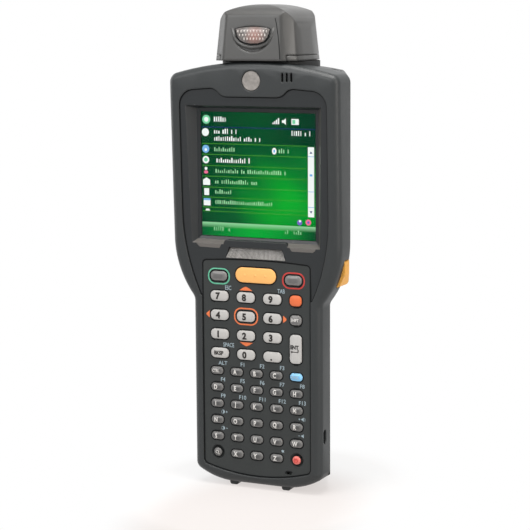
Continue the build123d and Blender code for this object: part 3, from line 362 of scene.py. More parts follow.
# turned badge blank: fine rings round its centre
def makeBadgeMetal():
    tree, place = startMaterial("badgeMetal")
    centred = makeNode(tree, "ShaderNodeMapping", {"Vector": place, "Location": (0, 0, -badge["height"])})
    rings = makeNode(tree, "ShaderNodeTexWave", {"Vector": centred.outputs[0], "Scale": badge["pitch"],
                     "Distortion": 1.5, "Detail": 3.0, "Detail Scale": badge["pitch"]},
                     wave_type="RINGS", rings_direction="Y").outputs["Fac"]
    toned = placeGroup(tree, tonedColour, Place=place, Colour=tint(*badge["colour"]), Drift=1.1, Patch=520.0,
                       Speck=rings, Specks=0.22)
    bump = makeNode(tree, "ShaderNodeBump", {"Height": rings, "Distance": 0.00001})
    closeMaterial(tree, {"Base Color": toned["Colour"], "Roughness": gloss(tree, place, level=0.42, spread=0.2),
                  "Normal": bump.outputs[0], "Metallic": 0.6})


# clear covers: smudged front, plain transmission
def makeGlass(name, colour, roughness, index):
    tree, place = startMaterial(name)
    toned = placeGroup(tree, tonedColour, Place=place, Colour=tint(*colour),
                       Drift=0.03, Patch=60.0, Specks=0.0)
    closeMaterial(tree, {"Base Color": toned["Colour"], "Roughness": gloss(tree, place, roughness, spread=0.03),
                  "IOR": index, "Specular IOR Level": 0.3, "Transmission Weight": 1.0})


makeBadgeMetal()
makeGlass("displayGlass", (252, 254, 253), 0.02, 1.12)
makeGlass("scanGlass", (150, 20, 28), 0.03, 1.35)


# lit print on the display

glows = {
    "glowWhite": (244, 248, 246), "glowPale": (150, 214, 160), "glowLine": (62, 150, 40),
    "glowBlueLine": (24, 44, 96), "glowSky": (120, 180, 232), "glowMint": (120, 210, 160),
    "glowPink": (236, 110, 150), "glowViolet": (116, 96, 196), "glowInk": (40, 60, 120),
}
picture = {
    "size": 53.5 * mm, "middle": 137.0 * mm, "depth": -14.12 * mm, "titleEnd": 0.119, "barStart": 0.892,
    "headingEnd": 0.253, "heading": ((0.0, (0, 58, 30)), (0.5, (0, 74, 34)), (1.0, (0, 52, 30))),
    "field": ((0.0, (0, 62, 32)), (0.36, (0, 84, 38)), (0.68, (0, 132, 38)), (1.0, (0, 172, 38))),
    "bar": ((0.0, (0, 92, 44)), (0.45, (0, 168, 52)), (0.7, (0, 150, 48)), (1.0, (0, 66, 34))),
    "barLip": (150, 214, 160), "lipHeight": 0.045,
    # brightest point in u and v, how much faster it falls off downwards, and the level there
    "brightest": 0.74, "squash": 1.05, "level": 1.02, "fall": 1.32, "ribbon": 0.1,
}


def closeGlow(tree, colour):
    closeMaterial(tree, {"Emission Color": colour, "Emission Strength": 1.0, "Specular IOR Level": 0.0,
                  "Base Color": tint(6, 10, 8), "Roughness": 0.6})


# u runs left to right and v top to bottom over the lit picture
def pictureSpan(tree, place):
    parts = makeNode(tree, "ShaderNodeSeparateXYZ", {0: place}).outputs
    half, middle = picture["size"] / 2, picture["middle"]
    return (mapSpan(tree, parts["X"], -half, half, clamp=False),
            mapSpan(tree, parts["Z"], middle + half, middle - half, clamp=False))


def colourRamp(tree, factor, stops):
    ramp = makeNode(tree, "ShaderNodeValToRGB", {"Fac": factor})
    elements = ramp.color_ramp.elements
    while len(elements) < len(stops):
        elements.new(0.5)
    for element, (position, colour) in zip(elements, stops):
        element.position = position
        element.color = tint(*colour)
    return ramp.outputs["Color"]


def makeGlow(name, colour):
    tree, place = startMaterial(name)
    toned = placeGroup(tree, tonedColour, Place=place, Colour=tint(*colour),
                       Drift=0.1, Patch=300.0, Specks=0.0)
    closeGlow(tree, toned["Colour"])


# green field with soft ribbons, bright low on the right, under a dark heading
def makeBackdropGlow():
    tree, place = startMaterial("glowBackdrop")
    u, v = pictureSpan(tree, place)
    across = calc(tree, "SUBTRACT", u, picture["brightest"])
    down = calc(tree, "MULTIPLY", calc(tree, "SUBTRACT", v, picture["brightest"]), picture["squash"])
    away = calc(tree, "SQRT", calc(tree, "ADD", calc(tree, "MULTIPLY", across, across),
                                   calc(tree, "MULTIPLY", down, down)), 0.0)
    ribbons = makeNode(tree, "ShaderNodeTexWave", {"Vector": place, "Scale": 26.0, "Distortion": 5.0,
                       "Detail": 1.0, "Detail Scale": 0.6}, bands_direction="DIAGONAL")
    ripple = calc(tree, "ADD", picture["level"], swing(tree, ribbons.outputs["Fac"], picture["ribbon"]))
    level = calc(tree, "SUBTRACT", ripple, calc(tree, "MULTIPLY", away, picture["fall"]), clamp=True)
    heading = calc(tree, "LESS_THAN", v, picture["headingEnd"])
    closeGlow(tree, blendColours(tree, heading, colourRamp(tree, level, picture["field"]),
                                 colourRamp(tree, u, picture["heading"])))


def makeBottomBarGlow():
    tree, place = startMaterial("glowBottomBar")
    u, v = pictureSpan(tree, place)
    start = picture["barStart"]
    lip = mapSpan(tree, v, start, start + picture["lipHeight"], toMin=1.0, toMax=0.0)
    closeGlow(tree, blendColours(tree, lip, colourRamp(tree, u, picture["bar"]), tint(*picture["barLip"])))


for glowName, glowColour in glows.items():
    makeGlow(glowName, glowColour)
makeBackdropGlow()
makeBottomBarGlow()


emitter = {"place": (1.2 * mm, -17.4 * mm, 195.8 * mm), "near": 0.5 * mm, "far": 5.2 * mm,
           "colour": (206, 120, 98)}


# lens over the scan lamp: silvery with a red cast from the emitter behind it
def makeLampLens(name, low, high, blush):
    tree, place = startMaterial(name)
    centred = makeNode(tree, "ShaderNodeMapping", {"Vector": place, "Location": -Vector(emitter["place"])})
    spot = makeNode(tree, "ShaderNodeVectorMath", {0: centred.outputs[0]}, operation="LENGTH")
    warm = mapSpan(tree, spot.outputs["Value"], emitter["near"], emitter["far"], toMin=blush, toMax=0.0)
    silver = blendColours(tree, noise(tree, place, scale=1100.0, detail=2.5), tint(*low), tint(*high))
    closeMaterial(tree, {"Base Color": blendColours(tree, warm, silver, tint(*emitter["colour"])),
                  "Roughness": gloss(tree, place, level=0.22, spread=0.2), "Metallic": 0.15,
                  "Specular IOR Level": 0.3,
                  "Coat Weight": 0.35, "Coat Roughness": 0.06})


makeLampLens("lampLens", (58, 54, 53), (128, 123, 120), 0.3)
# painted glints: the pips are much paler than the lens, standing in for the light they catch
makeLampLens("lampPipGlints", (140, 134, 130), (214, 208, 204), 0.2)


# pieces

def addPiece(name, mesh, body, finishList, replaced=()):
    marks = [face.material_index for face in mesh.polygons]
    mesh.materials.clear()
    for finish in finishList:
        mesh.materials.append(materials[finish])
    mesh.polygons.foreach_set("material_index", marks)
    piece = bpy.data.objects.new(name, mesh)
    scene.collection.objects.link(piece)
    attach(piece, body)
    if replaced:
        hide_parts(*replaced)
    return piece


def bodyOf(node):
    return body_of(nodes[node])[0]


def meshFrom(bm, name):
    mesh = bpy.data.meshes.new(name)
    bm.to_mesh(mesh)
    bm.free()
    return mesh


# a drawn shape becomes a piece of one finish
def layPiece(bm, name, body, finish, replaced=(), smooth=False):
    bmesh.ops.recalc_face_normals(bm, faces=bm.faces)
    for face in bm.faces:
        face.smooth = smooth
    addPiece(name, meshFrom(bm, name), body, [finish], replaced)


# merged and smoothed copies of the parts that show: node, piece name, finish
dressing = (
    ("front_housing", "frontShell", "housingPlastic"),
    ("rear_housing", "rearShell", "housingPlastic"),
    ("display_frame", "displaySurround", "framePlastic"),
    ("keypad_panel", "keypadFace", "panelPlastic"),
    ("turret_cover", "turretShell", "turretPlastic"),
    ("turret_base", "turretFoot", "turretPlastic"),
    ("swivel_collar", "swivelRing", "collarRubber"),
    ("right_scan_button", "rightTrigger", "buttonRubber"),
    ("left_scan_button", "leftTrigger", "buttonRubber"),
    ("battery_pack", "batteryShell", "batteryPlastic"),
    ("battery_latch", "batteryCatch", "latchPlastic"),
    ("stylus", "stylusBarrel", "stylusPlastic"),
    ("badge_disc", "badgeBlank", "badgeMetal"),
    ("led_bar", "lightBarCore", "barCore"),
    ("io_connector", "portBlock", "connectorPlastic"),
    ("housing_screws", "shellScrews", "screwSteel"),
    ("turret_hub", "turretStem", "latchPlastic"),
)
# parts inside, which keep their own mesh
inside = {
    "housing_seal": "sealRubber", "speaker": "connectorPlastic", "keypad_mat": "siliconeMat",
    "keypad_board": "boardLacquer", "main_board": "boardLacquer", "wireless_board": "boardLacquer",
    "scan_switches": "connectorPlastic", "battery_contacts": "contactGold", "latch_spring": "screwSteel",
    "turret_screws": "screwSteel", "scan_engine": "castMetal", "scan_window": "scanGlass",
}
smoothing = {"merge": 0.000002, "flat": 0.4, "sharp": 33}


def mergedCopy(node):
    bm = bmesh.new()
    bm.from_mesh(nodes[node].data)
    bmesh.ops.remove_doubles(bm, verts=bm.verts, dist=smoothing["merge"])
    return bm


def dressNode(node, name, finish):
    bm = mergedCopy(node)
    bmesh.ops.dissolve_limit(bm, angle_limit=math.radians(smoothing["flat"]), verts=bm.verts, edges=bm.edges)
    for edge in bm.edges:
        edge.smooth = len(edge.link_faces) == 2 and edge.calc_face_angle() < math.radians(smoothing["sharp"])
    for face in bm.faces:
        face.smooth = True
        face.material_index = 0
    bmesh.ops.triangulate(bm, faces=[face for face in bm.faces if len(face.verts) > 4])
    mesh = meshFrom(bm, name)
    if "custom_normal" in mesh.attributes:
        mesh.attributes.remove(mesh.attributes["custom_normal"])
    piece = addPiece(name, mesh, bodyOf(node), [finish], replaced=[node])
    even = piece.modifiers.new("evenShading", "WEIGHTED_NORMAL")
    even.keep_sharp = True
    even.weight = 100
    return piece


slopes = {"steep": -0.92, "flat": -0.3, "rise": 0.5, "padLow": 0.107, "padHigh": 0.1095, "padReach": 0.0285,
          "bevelFrom": 0.02, "bevelTo": 0.0312}


# painted sheen: the display's surround is painted paler on the slopes right of the opening and under it, where
# they catch the light
def paintSlopeSheen(piece):
    piece.data.materials.append(materials["bevelPaintedSheen"])
    piece.data.materials.append(materials["padPaintedSheen"])
    for face in piece.data.polygons:
        sloped = slopes["steep"] < face.normal.y < slopes["flat"]
        low = slopes["padLow"] < face.center.z < slopes["padHigh"] and abs(face.center.x) < slopes["padReach"]
        if sloped and face.normal.z > slopes["rise"] and low:
            face.material_index = 2
        elif sloped and slopes["bevelFrom"] < face.center.x < slopes["bevelTo"]:
            face.material_index = 1


for nodeName, pieceName, finishName in dressing:
    dressed = dressNode(nodeName, pieceName, finishName)
    if nodeName == "display_frame":
        paintSlopeSheen(dressed)
for nodeName, finishName in inside.items():
    for materialSlot in nodes[nodeName].material_slots:
        materialSlot.material = materials[finishName]
print("shell pieces:", len(dressing))


# outlines and the faces between them

def outlinePoints(width, height, corner, steps=7):
    points = []
    for quarter in range(4):
        centreX = (width / 2 - corner) * (1 if quarter in (0, 3) else -1)
        centreZ = (height / 2 - corner) * (1 if quarter in (0, 1) else -1)
        for step in range(steps):
            angle = math.radians(90 * quarter + 90 * step / (steps - 1))
            points.append((centreX + corner * math.cos(angle), centreZ + corner * math.sin(angle)))
    return points


def circlePoints(x, z, radius, count=14, start=0.0, sweep=360.0):
    steps = count if sweep == 360.0 else count + 1
    return [(x + radius * math.cos(math.radians(start + sweep * k / count)),
             z + radius * math.sin(math.radians(start + sweep * k / count))) for k in range(steps)]


def joinLoops(bm, loops, wrap=False, opened=False):
    count = len(loops[0])
    for lower, upper in zip(loops, loops[1:] + (loops[:1] if wrap else [])):
        for k in range(count - 1 if opened else count):
            bm.faces.new((lower[k], lower[(k + 1) % count], upper[(k + 1) % count], upper[k]))


def closeSlab(bm, back, front):
    bm.faces.new(front)
    bm.faces.new(back[::-1])
    joinLoops(bm, [back, front])


# flat mark with a real thickness, front side towards -Y
def addPlate(bm, points, front, back):
    low = [bm.verts.new((x, back, z)) for x, z in points]
    closeSlab(bm, low, [bm.verts.new((x, front, z)) for x, z in points])


# the same, from points in millimetres about a centre
def addMark(bm, x, z, points, front, back):
    addPlate(bm, [(x + a * mm, z + b * mm) for a, b in points], front, back)


def boxPoints(left, low, right, high):
    return (left, low), (right, low), (right, high), (left, high)


def addBand(bm, centre, width, height, corner, thickness, front, back):
    outer = outlinePoints(width, height, corner)
    inner = outlinePoints(width - 2 * thickness, height - 2 * thickness, corner - thickness)
    turns = ((outer, back), (outer, front), (inner, front), (inner, back))
    joinLoops(bm, [[bm.verts.new((centre[0] + x, depth, centre[1] + z)) for x, z in points]
                   for points, depth in turns], wrap=True)


# keys

keySkirt = -15.35 * mm
keyFront = -17.9 * mm
numberColumns = [-17.34 * mm, -4.78 * mm, 7.78 * mm]
numberRows = [84.4 * mm, 76.02 * mm, 67.64 * mm, 59.26 * mm]
letterColumns = [k * 9.43 * mm for k in (-2, -1, 0, 1, 2)]
letterRows = [(51.3 - 7.3 * k) * mm for k in range(6)]
sideX = 18.7 * mm
callX, callZ = 17.65 * mm, 93.1 * mm
keyShapes = {
    # width, height, corner, rounding at the rim, rise of the crown
    "number": (8.5, 4.45, 2.0, 0.55, 0.28),
    "orange": (5.5, 4.6, 1.8, 0.6, 0.3),
    "shift": (5.4, 4.3, 1.8, 0.7, 0.3),
    "enter": (5.5, 12.55, 1.8, 0.6, 0.28),
    "call": (7.9, 4.25, 2.0, 0.9, 0.35),
    "scan": (19.1, 6.55, 3.25, 0.6, 0.3),
    "letter": (5.8, 3.4, 1.6, 0.75, 0.3),
    "round": (3.75, 3.75, 1.86, 0.7, 0.3),
}
keys = {
    # node: piece name, shape, finish, slot, centres
    "key_orange": ("orangeShiftCap", "orange", "orangeKey", "key_orange", [(sideX, numberRows[0])]),
    "key_shift": ("shiftCap", "shift", "greyKey", "key_clear", [(sideX, numberRows[1])]),
    "key_enter": ("enterCap", "enter", "numberKey", "key_light", [(sideX, 63.45 * mm)]),
    "key_green": ("callCap", "call", "greyKey", "key_clear", [(-callX, callZ)]),
    "key_red": ("hangUpCap", "call", "greyKey", "key_clear", [(callX, callZ)]),
    "key_scan": ("scanCap", "scan", "scanKey", "key_yellow", [(0, 94.2 * mm)]),
}
letterKeys = {
    # node: piece name, shape, finish, slot, row, first column, number of columns
    "key_control": ("controlCap", "letter", "smallKey", "key_clear", 0, 0, 1),
    "keys_a_to_c": ("capsAToC", "letter", "smallKey", "key_clear", 0, 1, 3),
    "key_blue": ("blueShiftCap", "letter", "blueKey", "key_blue", 0, 4, 1),
    "keys_d_to_h": ("capsDToH", "letter", "smallKey", "key_clear", 1, 0, 5),
    "keys_i_to_m": ("capsIToM", "letter", "smallKey", "key_clear", 2, 0, 5),
    "keys_n_to_r": ("capsNToR", "letter", "smallKey", "key_clear", 3, 0, 5),
    "keys_s_to_w": ("capsSToW", "letter", "smallKey", "key_clear", 4, 0, 5),
    "key_search": ("searchCap", "round", "smallKey", "key_clear", 5, 0, 1),
    "keys_x_to_z": ("capsXToZ", "letter", "smallKey", "key_clear", 5, 1, 3),
    "key_power": ("powerCap", "round", "powerKey", "key_red", 5, 4, 1),
}
for nodeName, (*capValues, row, first, span) in letterKeys.items():
    keys[nodeName] = (*capValues, [(x, letterRows[row]) for x in letterColumns[first:first + span]])
numberNames = (("7", "8", "9"), ("4", "5", "6"), ("1", "2", "3"), ("backspace", "0", "point"))
for rowZ, rowNames in zip(numberRows, numberNames):
    for columnX, keyName in zip(numberColumns, rowNames):
        capName = "cap" + keyName.capitalize()
        keys["key_" + keyName] = (capName, "number", "numberKey", "key_light", [(columnX, rowZ)])


# depth of a cap's face at a point, so that print can follow the crown
def capFace(shape, dx, dz):
    width, height, crown = [keyShapes[shape][k] * mm for k in (0, 1, 4)]
    away = min(1.0, math.hypot(dx / (width / 2), dz / (height / 2)))
    return keyFront + crown * away ** 2


# the rim steps and the crown loops lose the painted side light step by step towards the middle
capForm = {"rimSteps": 3, "inset": 0.8, "leastCorner": 0.02 * mm, "fade": 0.2, "crown": (0.8, 0.55, 0.28),
           "sideLitFrom": 0.55}


# skirt, rounded rim and crown as outlines one inside the other, each with how much painted side light shows
# there
def addCap(bm, shape, centre):
    width, height, corner, rim, crown = [value * mm for value in keyShapes[shape]]
    layer = bm.verts.layers.float.get("rim") or bm.verts.layers.float.new("rim")

    def insetPoints(inset):
        return outlinePoints(width - 2 * inset, height - 2 * inset, max(corner - inset, capForm["leastCorner"]))

    steps = [(0.0, keySkirt, 1.0), (0.0, keyFront + crown + rim, 1.0)]
    for step in range(1, capForm["rimSteps"] + 1):
        angle = math.radians(90 * step / capForm["rimSteps"])
        steps.append((rim * capForm["inset"] * (1 - math.cos(angle)),
                      keyFront + crown + rim * (1 - math.sin(angle)), 1.0 - capForm["fade"] * step))
    rows = [[(x, z, depth, pale) for x, z in insetPoints(inset)] for inset, depth, pale in steps]
    for share in capForm["crown"]:
        pale = max(0.0, share - capForm["sideLitFrom"])
        rows.append([(x * share, z * share, capFace(shape, x * share, z * share), pale)
                     for x, z in insetPoints(rim * capForm["inset"])])
    loops = []
    for row in rows:
        loops.append([])
        for x, z, depth, pale in row:
            vert = bm.verts.new((centre[0] + x, depth, centre[1] + z))
            vert[layer] = pale
            loops[-1].append(vert)
    tip = bm.verts.new((centre[0], keyFront, centre[1]))
    joinLoops(bm, loops)
    for lower, upper in zip(loops[-1], loops[-1][1:] + loops[-1][:1]):
        bm.faces.new((lower, upper, tip))
    bm.faces.new(loops[0])


scanBumps = {"spread": 4.8 * mm, "radius": 0.6 * mm, "rise": 0.13 * mm, "sink": 0.02 * mm}


def makeKeys():
    for node, (name, shape, finish, slot, centres) in keys.items():
        bm = bmesh.new()
        for centre in centres:
            addCap(bm, shape, centre)
        if node == "key_scan":
            squeeze = Matrix.Diagonal((scanBumps["radius"], scanBumps["rise"], scanBumps["radius"], 1))
            for k in (-1, 0, 1):
                x = k * scanBumps["spread"]
                dome = Matrix.Translation((x, capFace(shape, x, 0) + scanBumps["sink"], centres[0][1]))
                bmesh.ops.create_icosphere(bm, subdivisions=2, radius=1.0, matrix=dome @ squeeze)
        layPiece(bm, name, bodyOf(node), finish, [node], smooth=True)


makeKeys()
print("keys:", len(keys))


# lettering

def textMesh(words, size, weight, narrow):
    curve = bpy.data.curves.new("words", "FONT")
    curve.body = words
    curve.size = size * mm
    curve.offset = weight * mm
    curve.extrude = 0.03 * mm
    curve.align_x = "CENTER"
    curve.align_y = "CENTER"
    curve.resolution_u = 4
    holder = bpy.data.objects.new("words", curve)
    scene.collection.objects.link(holder)
    mesh = bpy.data.meshes.new_from_object(holder.evaluated_get(bpy.context.evaluated_depsgraph_get()))
    bpy.data.objects.remove(holder)
    bpy.data.curves.remove(curve)
    xs = [vert.co.x for vert in mesh.vertices]
    ys = [vert.co.y for vert in mesh.vertices]
    middle = Vector(((min(xs) + max(xs)) / 2, (min(ys) + max(ys)) / 2, 0))
    for vert in mesh.vertices:
        vert.co -= middle
        vert.co.x *= narrow
    return mesh


# print on a crowned key is cut into short edges first, so that it follows the crown
def splitLong(mesh, limit):
    bm = bmesh.new()
    bm.from_mesh(mesh)
    bmesh.ops.triangulate(bm, faces=bm.faces)
    for turn in range(3):
        longEdges = [edge for edge in bm.edges if edge.calc_length() > limit]
        if not longEdges:
            break
        bmesh.ops.subdivide_edges(bm, edges=longEdges, cuts=1)
        bmesh.ops.triangulate(bm, faces=bm.faces)
    bm.to_mesh(mesh)
    bm.free()


# words on the flat panel, or on the crown of a key where a key's shape is named
def addWords(bm, words, centre, size, weight, narrow, shift, shape=None):
    mesh = textMesh(words, size, weight, narrow)
    if shape:
        splitLong(mesh, lettering["longest"])
    start = len(bm.verts)
    bm.from_mesh(mesh)
    bm.verts.ensure_lookup_table()
    for vert in bm.verts[start:]:
        x, z, lift = vert.co.x + shift[0] * mm, vert.co.y + shift[1] * mm, vert.co.z
        face = capFace(shape, x, z) if shape else labels["depth"]
        vert.co = Vector((centre[0] + x, face - lift, centre[1] + z))
    bpy.data.meshes.remove(mesh)


lettering = {
    "longest": 0.4 * mm,
    # style: size, weight, narrowing, shift, shape of the key, finish
    "digit": (3.9, 0.2, 0.98, (-0.5, -0.05), "number", "legendInk"),
    "letter": (2.75, 0.09, 0.8, (-0.5, 0.0), "letter", "whiteInk"),
    "key_control": (1.9, 0.05, 0.74, (-0.35, 0.0), "letter", "whiteInk"),
    "key_shift": (1.95, 0.05, 0.72, (-0.15, 0.1), "shift", "whiteInk"),
    "key_blue": (1.9, 0.05, 0.7, (-0.2, 0.0), "letter", "paleBlueInk"),
    "key_backspace": (2.35, 0.11, 0.86, (-0.3, 0.0), "number", "legendInk"),
    "key_enter": (2.3, 0.11, 0.9, (-0.3, 0.95), "enter", "legendInk"),
}
keyWords = {"key_control": "CTRL", "key_shift": "SHIFT", "key_blue": "FUNC", "key_backspace": "BKSP",
            "key_enter": "ENT"}


def printKeys(node, name, words, style):
    *values, finish = lettering[style]
    bm = bmesh.new()
    for word, centre in zip(words, keys[node][4]):
        addWords(bm, word, centre, *values)
    layPiece(bm, name, bodyOf(node), finish)


def makeKeyPrint():
    for digit in "7894561230":
        printKeys("key_" + digit, "digit" + digit, digit, "digit")
    for row in ("ABC", "DEFGH", "IJKLM", "NOPQR", "STUVW", "XYZ"):
        printKeys("keys_" + row[0].lower() + "_to_" + row[-1].lower(), "letters" + row, row, "letter")
    for node, words in keyWords.items():
        printKeys(node, "words" + words.capitalize(), [words], node)


labels = {
    "depth": -16.9 * mm,
    # size, weight, narrowing, shift
    "small": (2.45, 0.025, 0.98, (2.75, 3.45)), "big": (2.597, 0.025, 0.72, (4.1, 3.7)),
    "rows": (("ALT", "F1", "F2", "F3"), ("F4", "F5", "F6", "F7", "F8"), ("F9", "F10", "F11", "F12", "F13")),
    "numberRows": (("ESC", 0, 0), ("TAB", 2, 0), ("SPACE", 0, 3)),
}


def makeLabels():
    bm = bmesh.new()
    for z, names in zip(letterRows, labels["rows"]):
        for x, words in zip(letterColumns, names):
            addWords(bm, words, (x, z), *labels["small"])
    for words, column, row in labels["numberRows"]:
        addWords(bm, words, (numberColumns[column], numberRows[row]), *labels["big"])
    layPiece(bm, "panelLabels", "housing", "paleBlueInk")


printing = {"front": -16.94 * mm, "back": -16.86 * mm, "ring": 0.64 * mm}
rings = (
    # name, finish, centre, width, height, corner
    ("goRing", "greenInk", (-callX, 92.95 * mm), 10.6, 7.2, 3.3),
    ("stopRing", "redInk", (callX, 92.95 * mm), 10.6, 7.2, 3.3),
    ("middleRing", "orangeInk", (numberColumns[1], numberRows[1]), 11.5, 7.6, 3.4),
)


def makeRings():
    for name, finish, centre, *sizes in rings:
        bm = bmesh.new()
        width, height, corner = [size * mm for size in sizes]
        addBand(bm, centre, width, height, corner, printing["ring"], printing["front"], printing["back"])
        layPiece(bm, name, "housing", finish)


wellShades = {"margin": 0.55, "clear": 0.02, "front": -16.925 * mm, "back": -16.8 * mm}


# painted shade: dark ring in the panel round each key, where its well falls away into shadow
def makeWellShades():
    bm = bmesh.new()
    grow = wellShades["margin"]
    for name, shape, finish, slot, centres in keys.values():
        width, height, corner = keyShapes[shape][:3]
        for centre in centres:
            addBand(bm, centre, (width + 2 * grow) * mm, (height + 2 * grow) * mm, (corner + grow) * mm,
                    (grow - wellShades["clear"]) * mm, wellShades["front"], wellShades["back"])
    layPiece(bm, "keyWellShades", "housing", "wellShadow")


arrows = {
    "up": ((-3.1, 2.95), (3.1, 2.95), (1.705, 3.95), (0.35, 4.6), (-0.35, 4.6), (-1.705, 3.95)),
    "side": ((4.95, -1.6), (6.55, -0.3), (6.55, 0.3), (4.95, 1.6)),
}


def makeArrows():
    bm = bmesh.new()
    left, middle, right = numberColumns
    front, back = printing["front"], printing["back"]
    addMark(bm, middle, numberRows[0], arrows["up"], front, back)
    addMark(bm, middle, numberRows[2], [(a, -b) for a, b in arrows["up"]][::-1], front, back)
    addMark(bm, right, numberRows[1], arrows["side"], front, back)
    addMark(bm, left, numberRows[1], [(-a, b) for a, b in arrows["side"]][::-1], front, back)
    layPiece(bm, "arrowPrint", "housing", "orangeInk")


symbols = {
    # places are in millimetres from a letter key's centre, sizes in millimetres
    "sun": (2.6, 3.6), "sunRadius": 0.8, "sunRing": (1.7, 0.84, 0.16), "sunSign": 1.7,
    "speaker": (2.9, 3.6), "speakerSign": -1.6, "thin": 0.14, "reach": 0.45, "step": 0.005 * mm,
    "star": (2.9, 3.3), "starReach": (0.85, 0.42),
    "horn": ((-0.7, -0.3), (-0.25, -0.3), (0.45, -0.95), (0.45, 0.95), (-0.25, 0.3), (-0.7, 0.3)),
    "wave": ((0.8, -0.8), (1.05, -0.8), (1.2, 0), (1.05, 0.8), (0.8, 0.8), (0.95, 0)),
}


# brightness, volume and star marks over the last letter rows
def makeSymbols():
    bm = bmesh.new()
    front, back, step = printing["front"], printing["back"], symbols["step"]
    thin, reach = symbols["thin"], symbols["reach"]
    ringSize, ringCorner, ringWidth = [size * mm for size in symbols["sunRing"]]

    def placeOf(mark, column, row):
        across, up = symbols[mark]
        return letterColumns[column] + across * mm, letterRows[row] + up * mm

    def addSign(x, z, plus):
        addMark(bm, x, z, boxPoints(-reach, -thin, reach, thin), front, back)
        if plus:
            addMark(bm, x, z, boxPoints(-thin, -reach, thin, reach), front - step, back)

    for row, plus in ((3, True), (4, False)):
        x, z = placeOf("sun", 0, row)
        addPlate(bm, circlePoints(x, z, symbols["sunRadius"] * mm, 10, -90.0, 180.0), front, back)
        addBand(bm, (x, z), ringSize, ringSize, ringCorner, ringWidth, front + step, back)
        addSign(x + symbols["sunSign"] * mm, z, plus)
        x, z = placeOf("speaker", 4, row)
        addMark(bm, x, z, symbols["horn"], front, back)
        addSign(x + symbols["speakerSign"] * mm, z, plus)
        if plus:
            addMark(bm, x, z, symbols["wave"], front, back)
    star = []
    for k in range(12):
        away, angle = symbols["starReach"][k % 2], math.radians(90 + 30 * k)
        star.append((away * math.cos(angle), away * math.sin(angle)))
    addMark(bm, *placeOf("star", 3, 5), star, front, back)
    layPiece(bm, "panelSymbols", "housing", "paleBlueInk")


keyMarks = {
    # node: piece name, finish, then plates (outline) and rings (rise, size, corner, width), all in millimetres,
    # each with its front and back from the key's face
    "key_point": ("pointPrint", "legendInk", (("plate", circlePoints(-0.3, -1.1, 0.42), 0.02, 0.2),)),
    "key_search": ("searchPrint", "whiteInk", (
        ("ring", (0.15, 1.5, 0.74, 0.22), -0.02, 0.1),
        ("plate", ((0.4, -0.45), (0.9, -1.0), (1.08, -0.82), (0.58, -0.27)), -0.01, 0.2))),
    "key_power": ("powerPrint", "redInk", (
        ("ring", (0.0, 1.9, 0.94, 0.2), -0.02, 0.1), ("plate", boxPoints(-0.1, -0.1, 0.1, 0.7), -0.03, 0.1))),
    "key_enter": ("enterPrint", "legendInk", (
        ("plate", ((-2.2, -1.1), (-1.3, -0.6), (-1.3, -0.95), (1.2, -0.95), (1.2, 0.1), (1.55, 0.1),
                   (1.55, -1.25), (-1.3, -1.25), (-1.3, -1.6)), -0.01, 0.25),)),
}


# point, magnifier, switch sign and return arrow on their keys
def makeKeyMarks():
    for node, (name, finish, marks) in keyMarks.items():
        x, z = keys[node][4][0]
        bm = bmesh.new()
        for kind, values, front, back in marks:
            front, back = keyFront + front * mm, keyFront + back * mm
            if kind == "plate":
                addMark(bm, x, z, values, front, back)
            else:
                rise, size, corner, width = [value * mm for value in values]
                addBand(bm, (x, z + rise), size, size, corner, width, front, back)
        layPiece(bm, name, bodyOf(node), finish)


makeKeyPrint()
makeLabels()
makeRings()
makeWellShades()
makeArrows()
makeSymbols()
makeKeyMarks()
print("legends printed")


# geometry node trees

def startTree(name, inputs):
    tree = bpy.data.node_groups.new(name, "GeometryNodeTree")
    for label, kind in (inputs | {"Seed": "Int", "Material": "Material"}).items():
        tree.interface.new_socket(label, in_out="INPUT", socket_type="NodeSocket" + kind)
    tree.interface.new_socket("Geometry", in_out="OUTPUT", socket_type="NodeSocketGeometry")
    return tree, tree.nodes.new("NodeGroupInput").outputs


def closeTree(tree, geometry, material):
    real = makeNode(tree, "GeometryNodeRealizeInstances", {0: geometry})
    painted = makeNode(tree, "GeometryNodeSetMaterial", {"Geometry": real.outputs[0], "Material": material})
    makeNode(tree, "NodeGroupOutput", {0: painted.outputs[0]})
    return tree


def combine(tree, x=0.0, y=0.0, z=0.0):
    return makeNode(tree, "ShaderNodeCombineXYZ", {"X": x, "Y": y, "Z": z}).outputs[0]


def randomSpan(tree, low, high, seed):
    draw = makeNode(tree, "FunctionNodeRandomValue", {2: low, 3: high, "Seed": seed}, data_type="FLOAT")
    return draw.outputs[1]


def pointRow(tree, entry):
    return makeNode(tree, "GeometryNodeMeshLine", {"Count": entry["Count"],
                    "Offset": combine(tree, entry["Pitch"])}).outputs[0]


def putOnPoints(tree, points, instance, **inputs):
    values = {"Points": points, "Instance": instance, **inputs}
    return makeNode(tree, "GeometryNodeInstanceOnPoints", values).outputs[0]


def growMesh(name, tree, values):
    holder = bpy.data.objects.new(name, bpy.data.meshes.new(name))
    scene.collection.objects.link(holder)
    modifier = holder.modifiers.new("grow", "NODES")
    modifier.node_group = tree
    for item in tree.interface.items_tree:
        if item.item_type == "SOCKET" and item.in_out == "INPUT":
            modifier[item.identifier] = values[item.name]
    mesh = bpy.data.meshes.new_from_object(holder.evaluated_get(bpy.context.evaluated_depsgraph_get()))
    bpy.data.objects.remove(holder)
    return mesh


# upright ribs side by side, each a six-sided bar of its own width
def makeRibTree():
    tree, entry = startTree("uprightRibs", {"Count": "Int", "Pitch": "Float", "Length": "Float",
                            "Radius": "Float"})
    bar = makeNode(tree, "GeometryNodeMeshCylinder", {"Vertices": 6, "Radius": entry["Radius"],
                   "Depth": entry["Length"]})
    width = combine(tree, randomSpan(tree, 0.62, 1.0, entry["Seed"]), 1.0, 1.0)
    stood = putOnPoints(tree, pointRow(tree, entry), bar.outputs[0], Scale=width)
    return closeTree(tree, stood, entry["Material"])


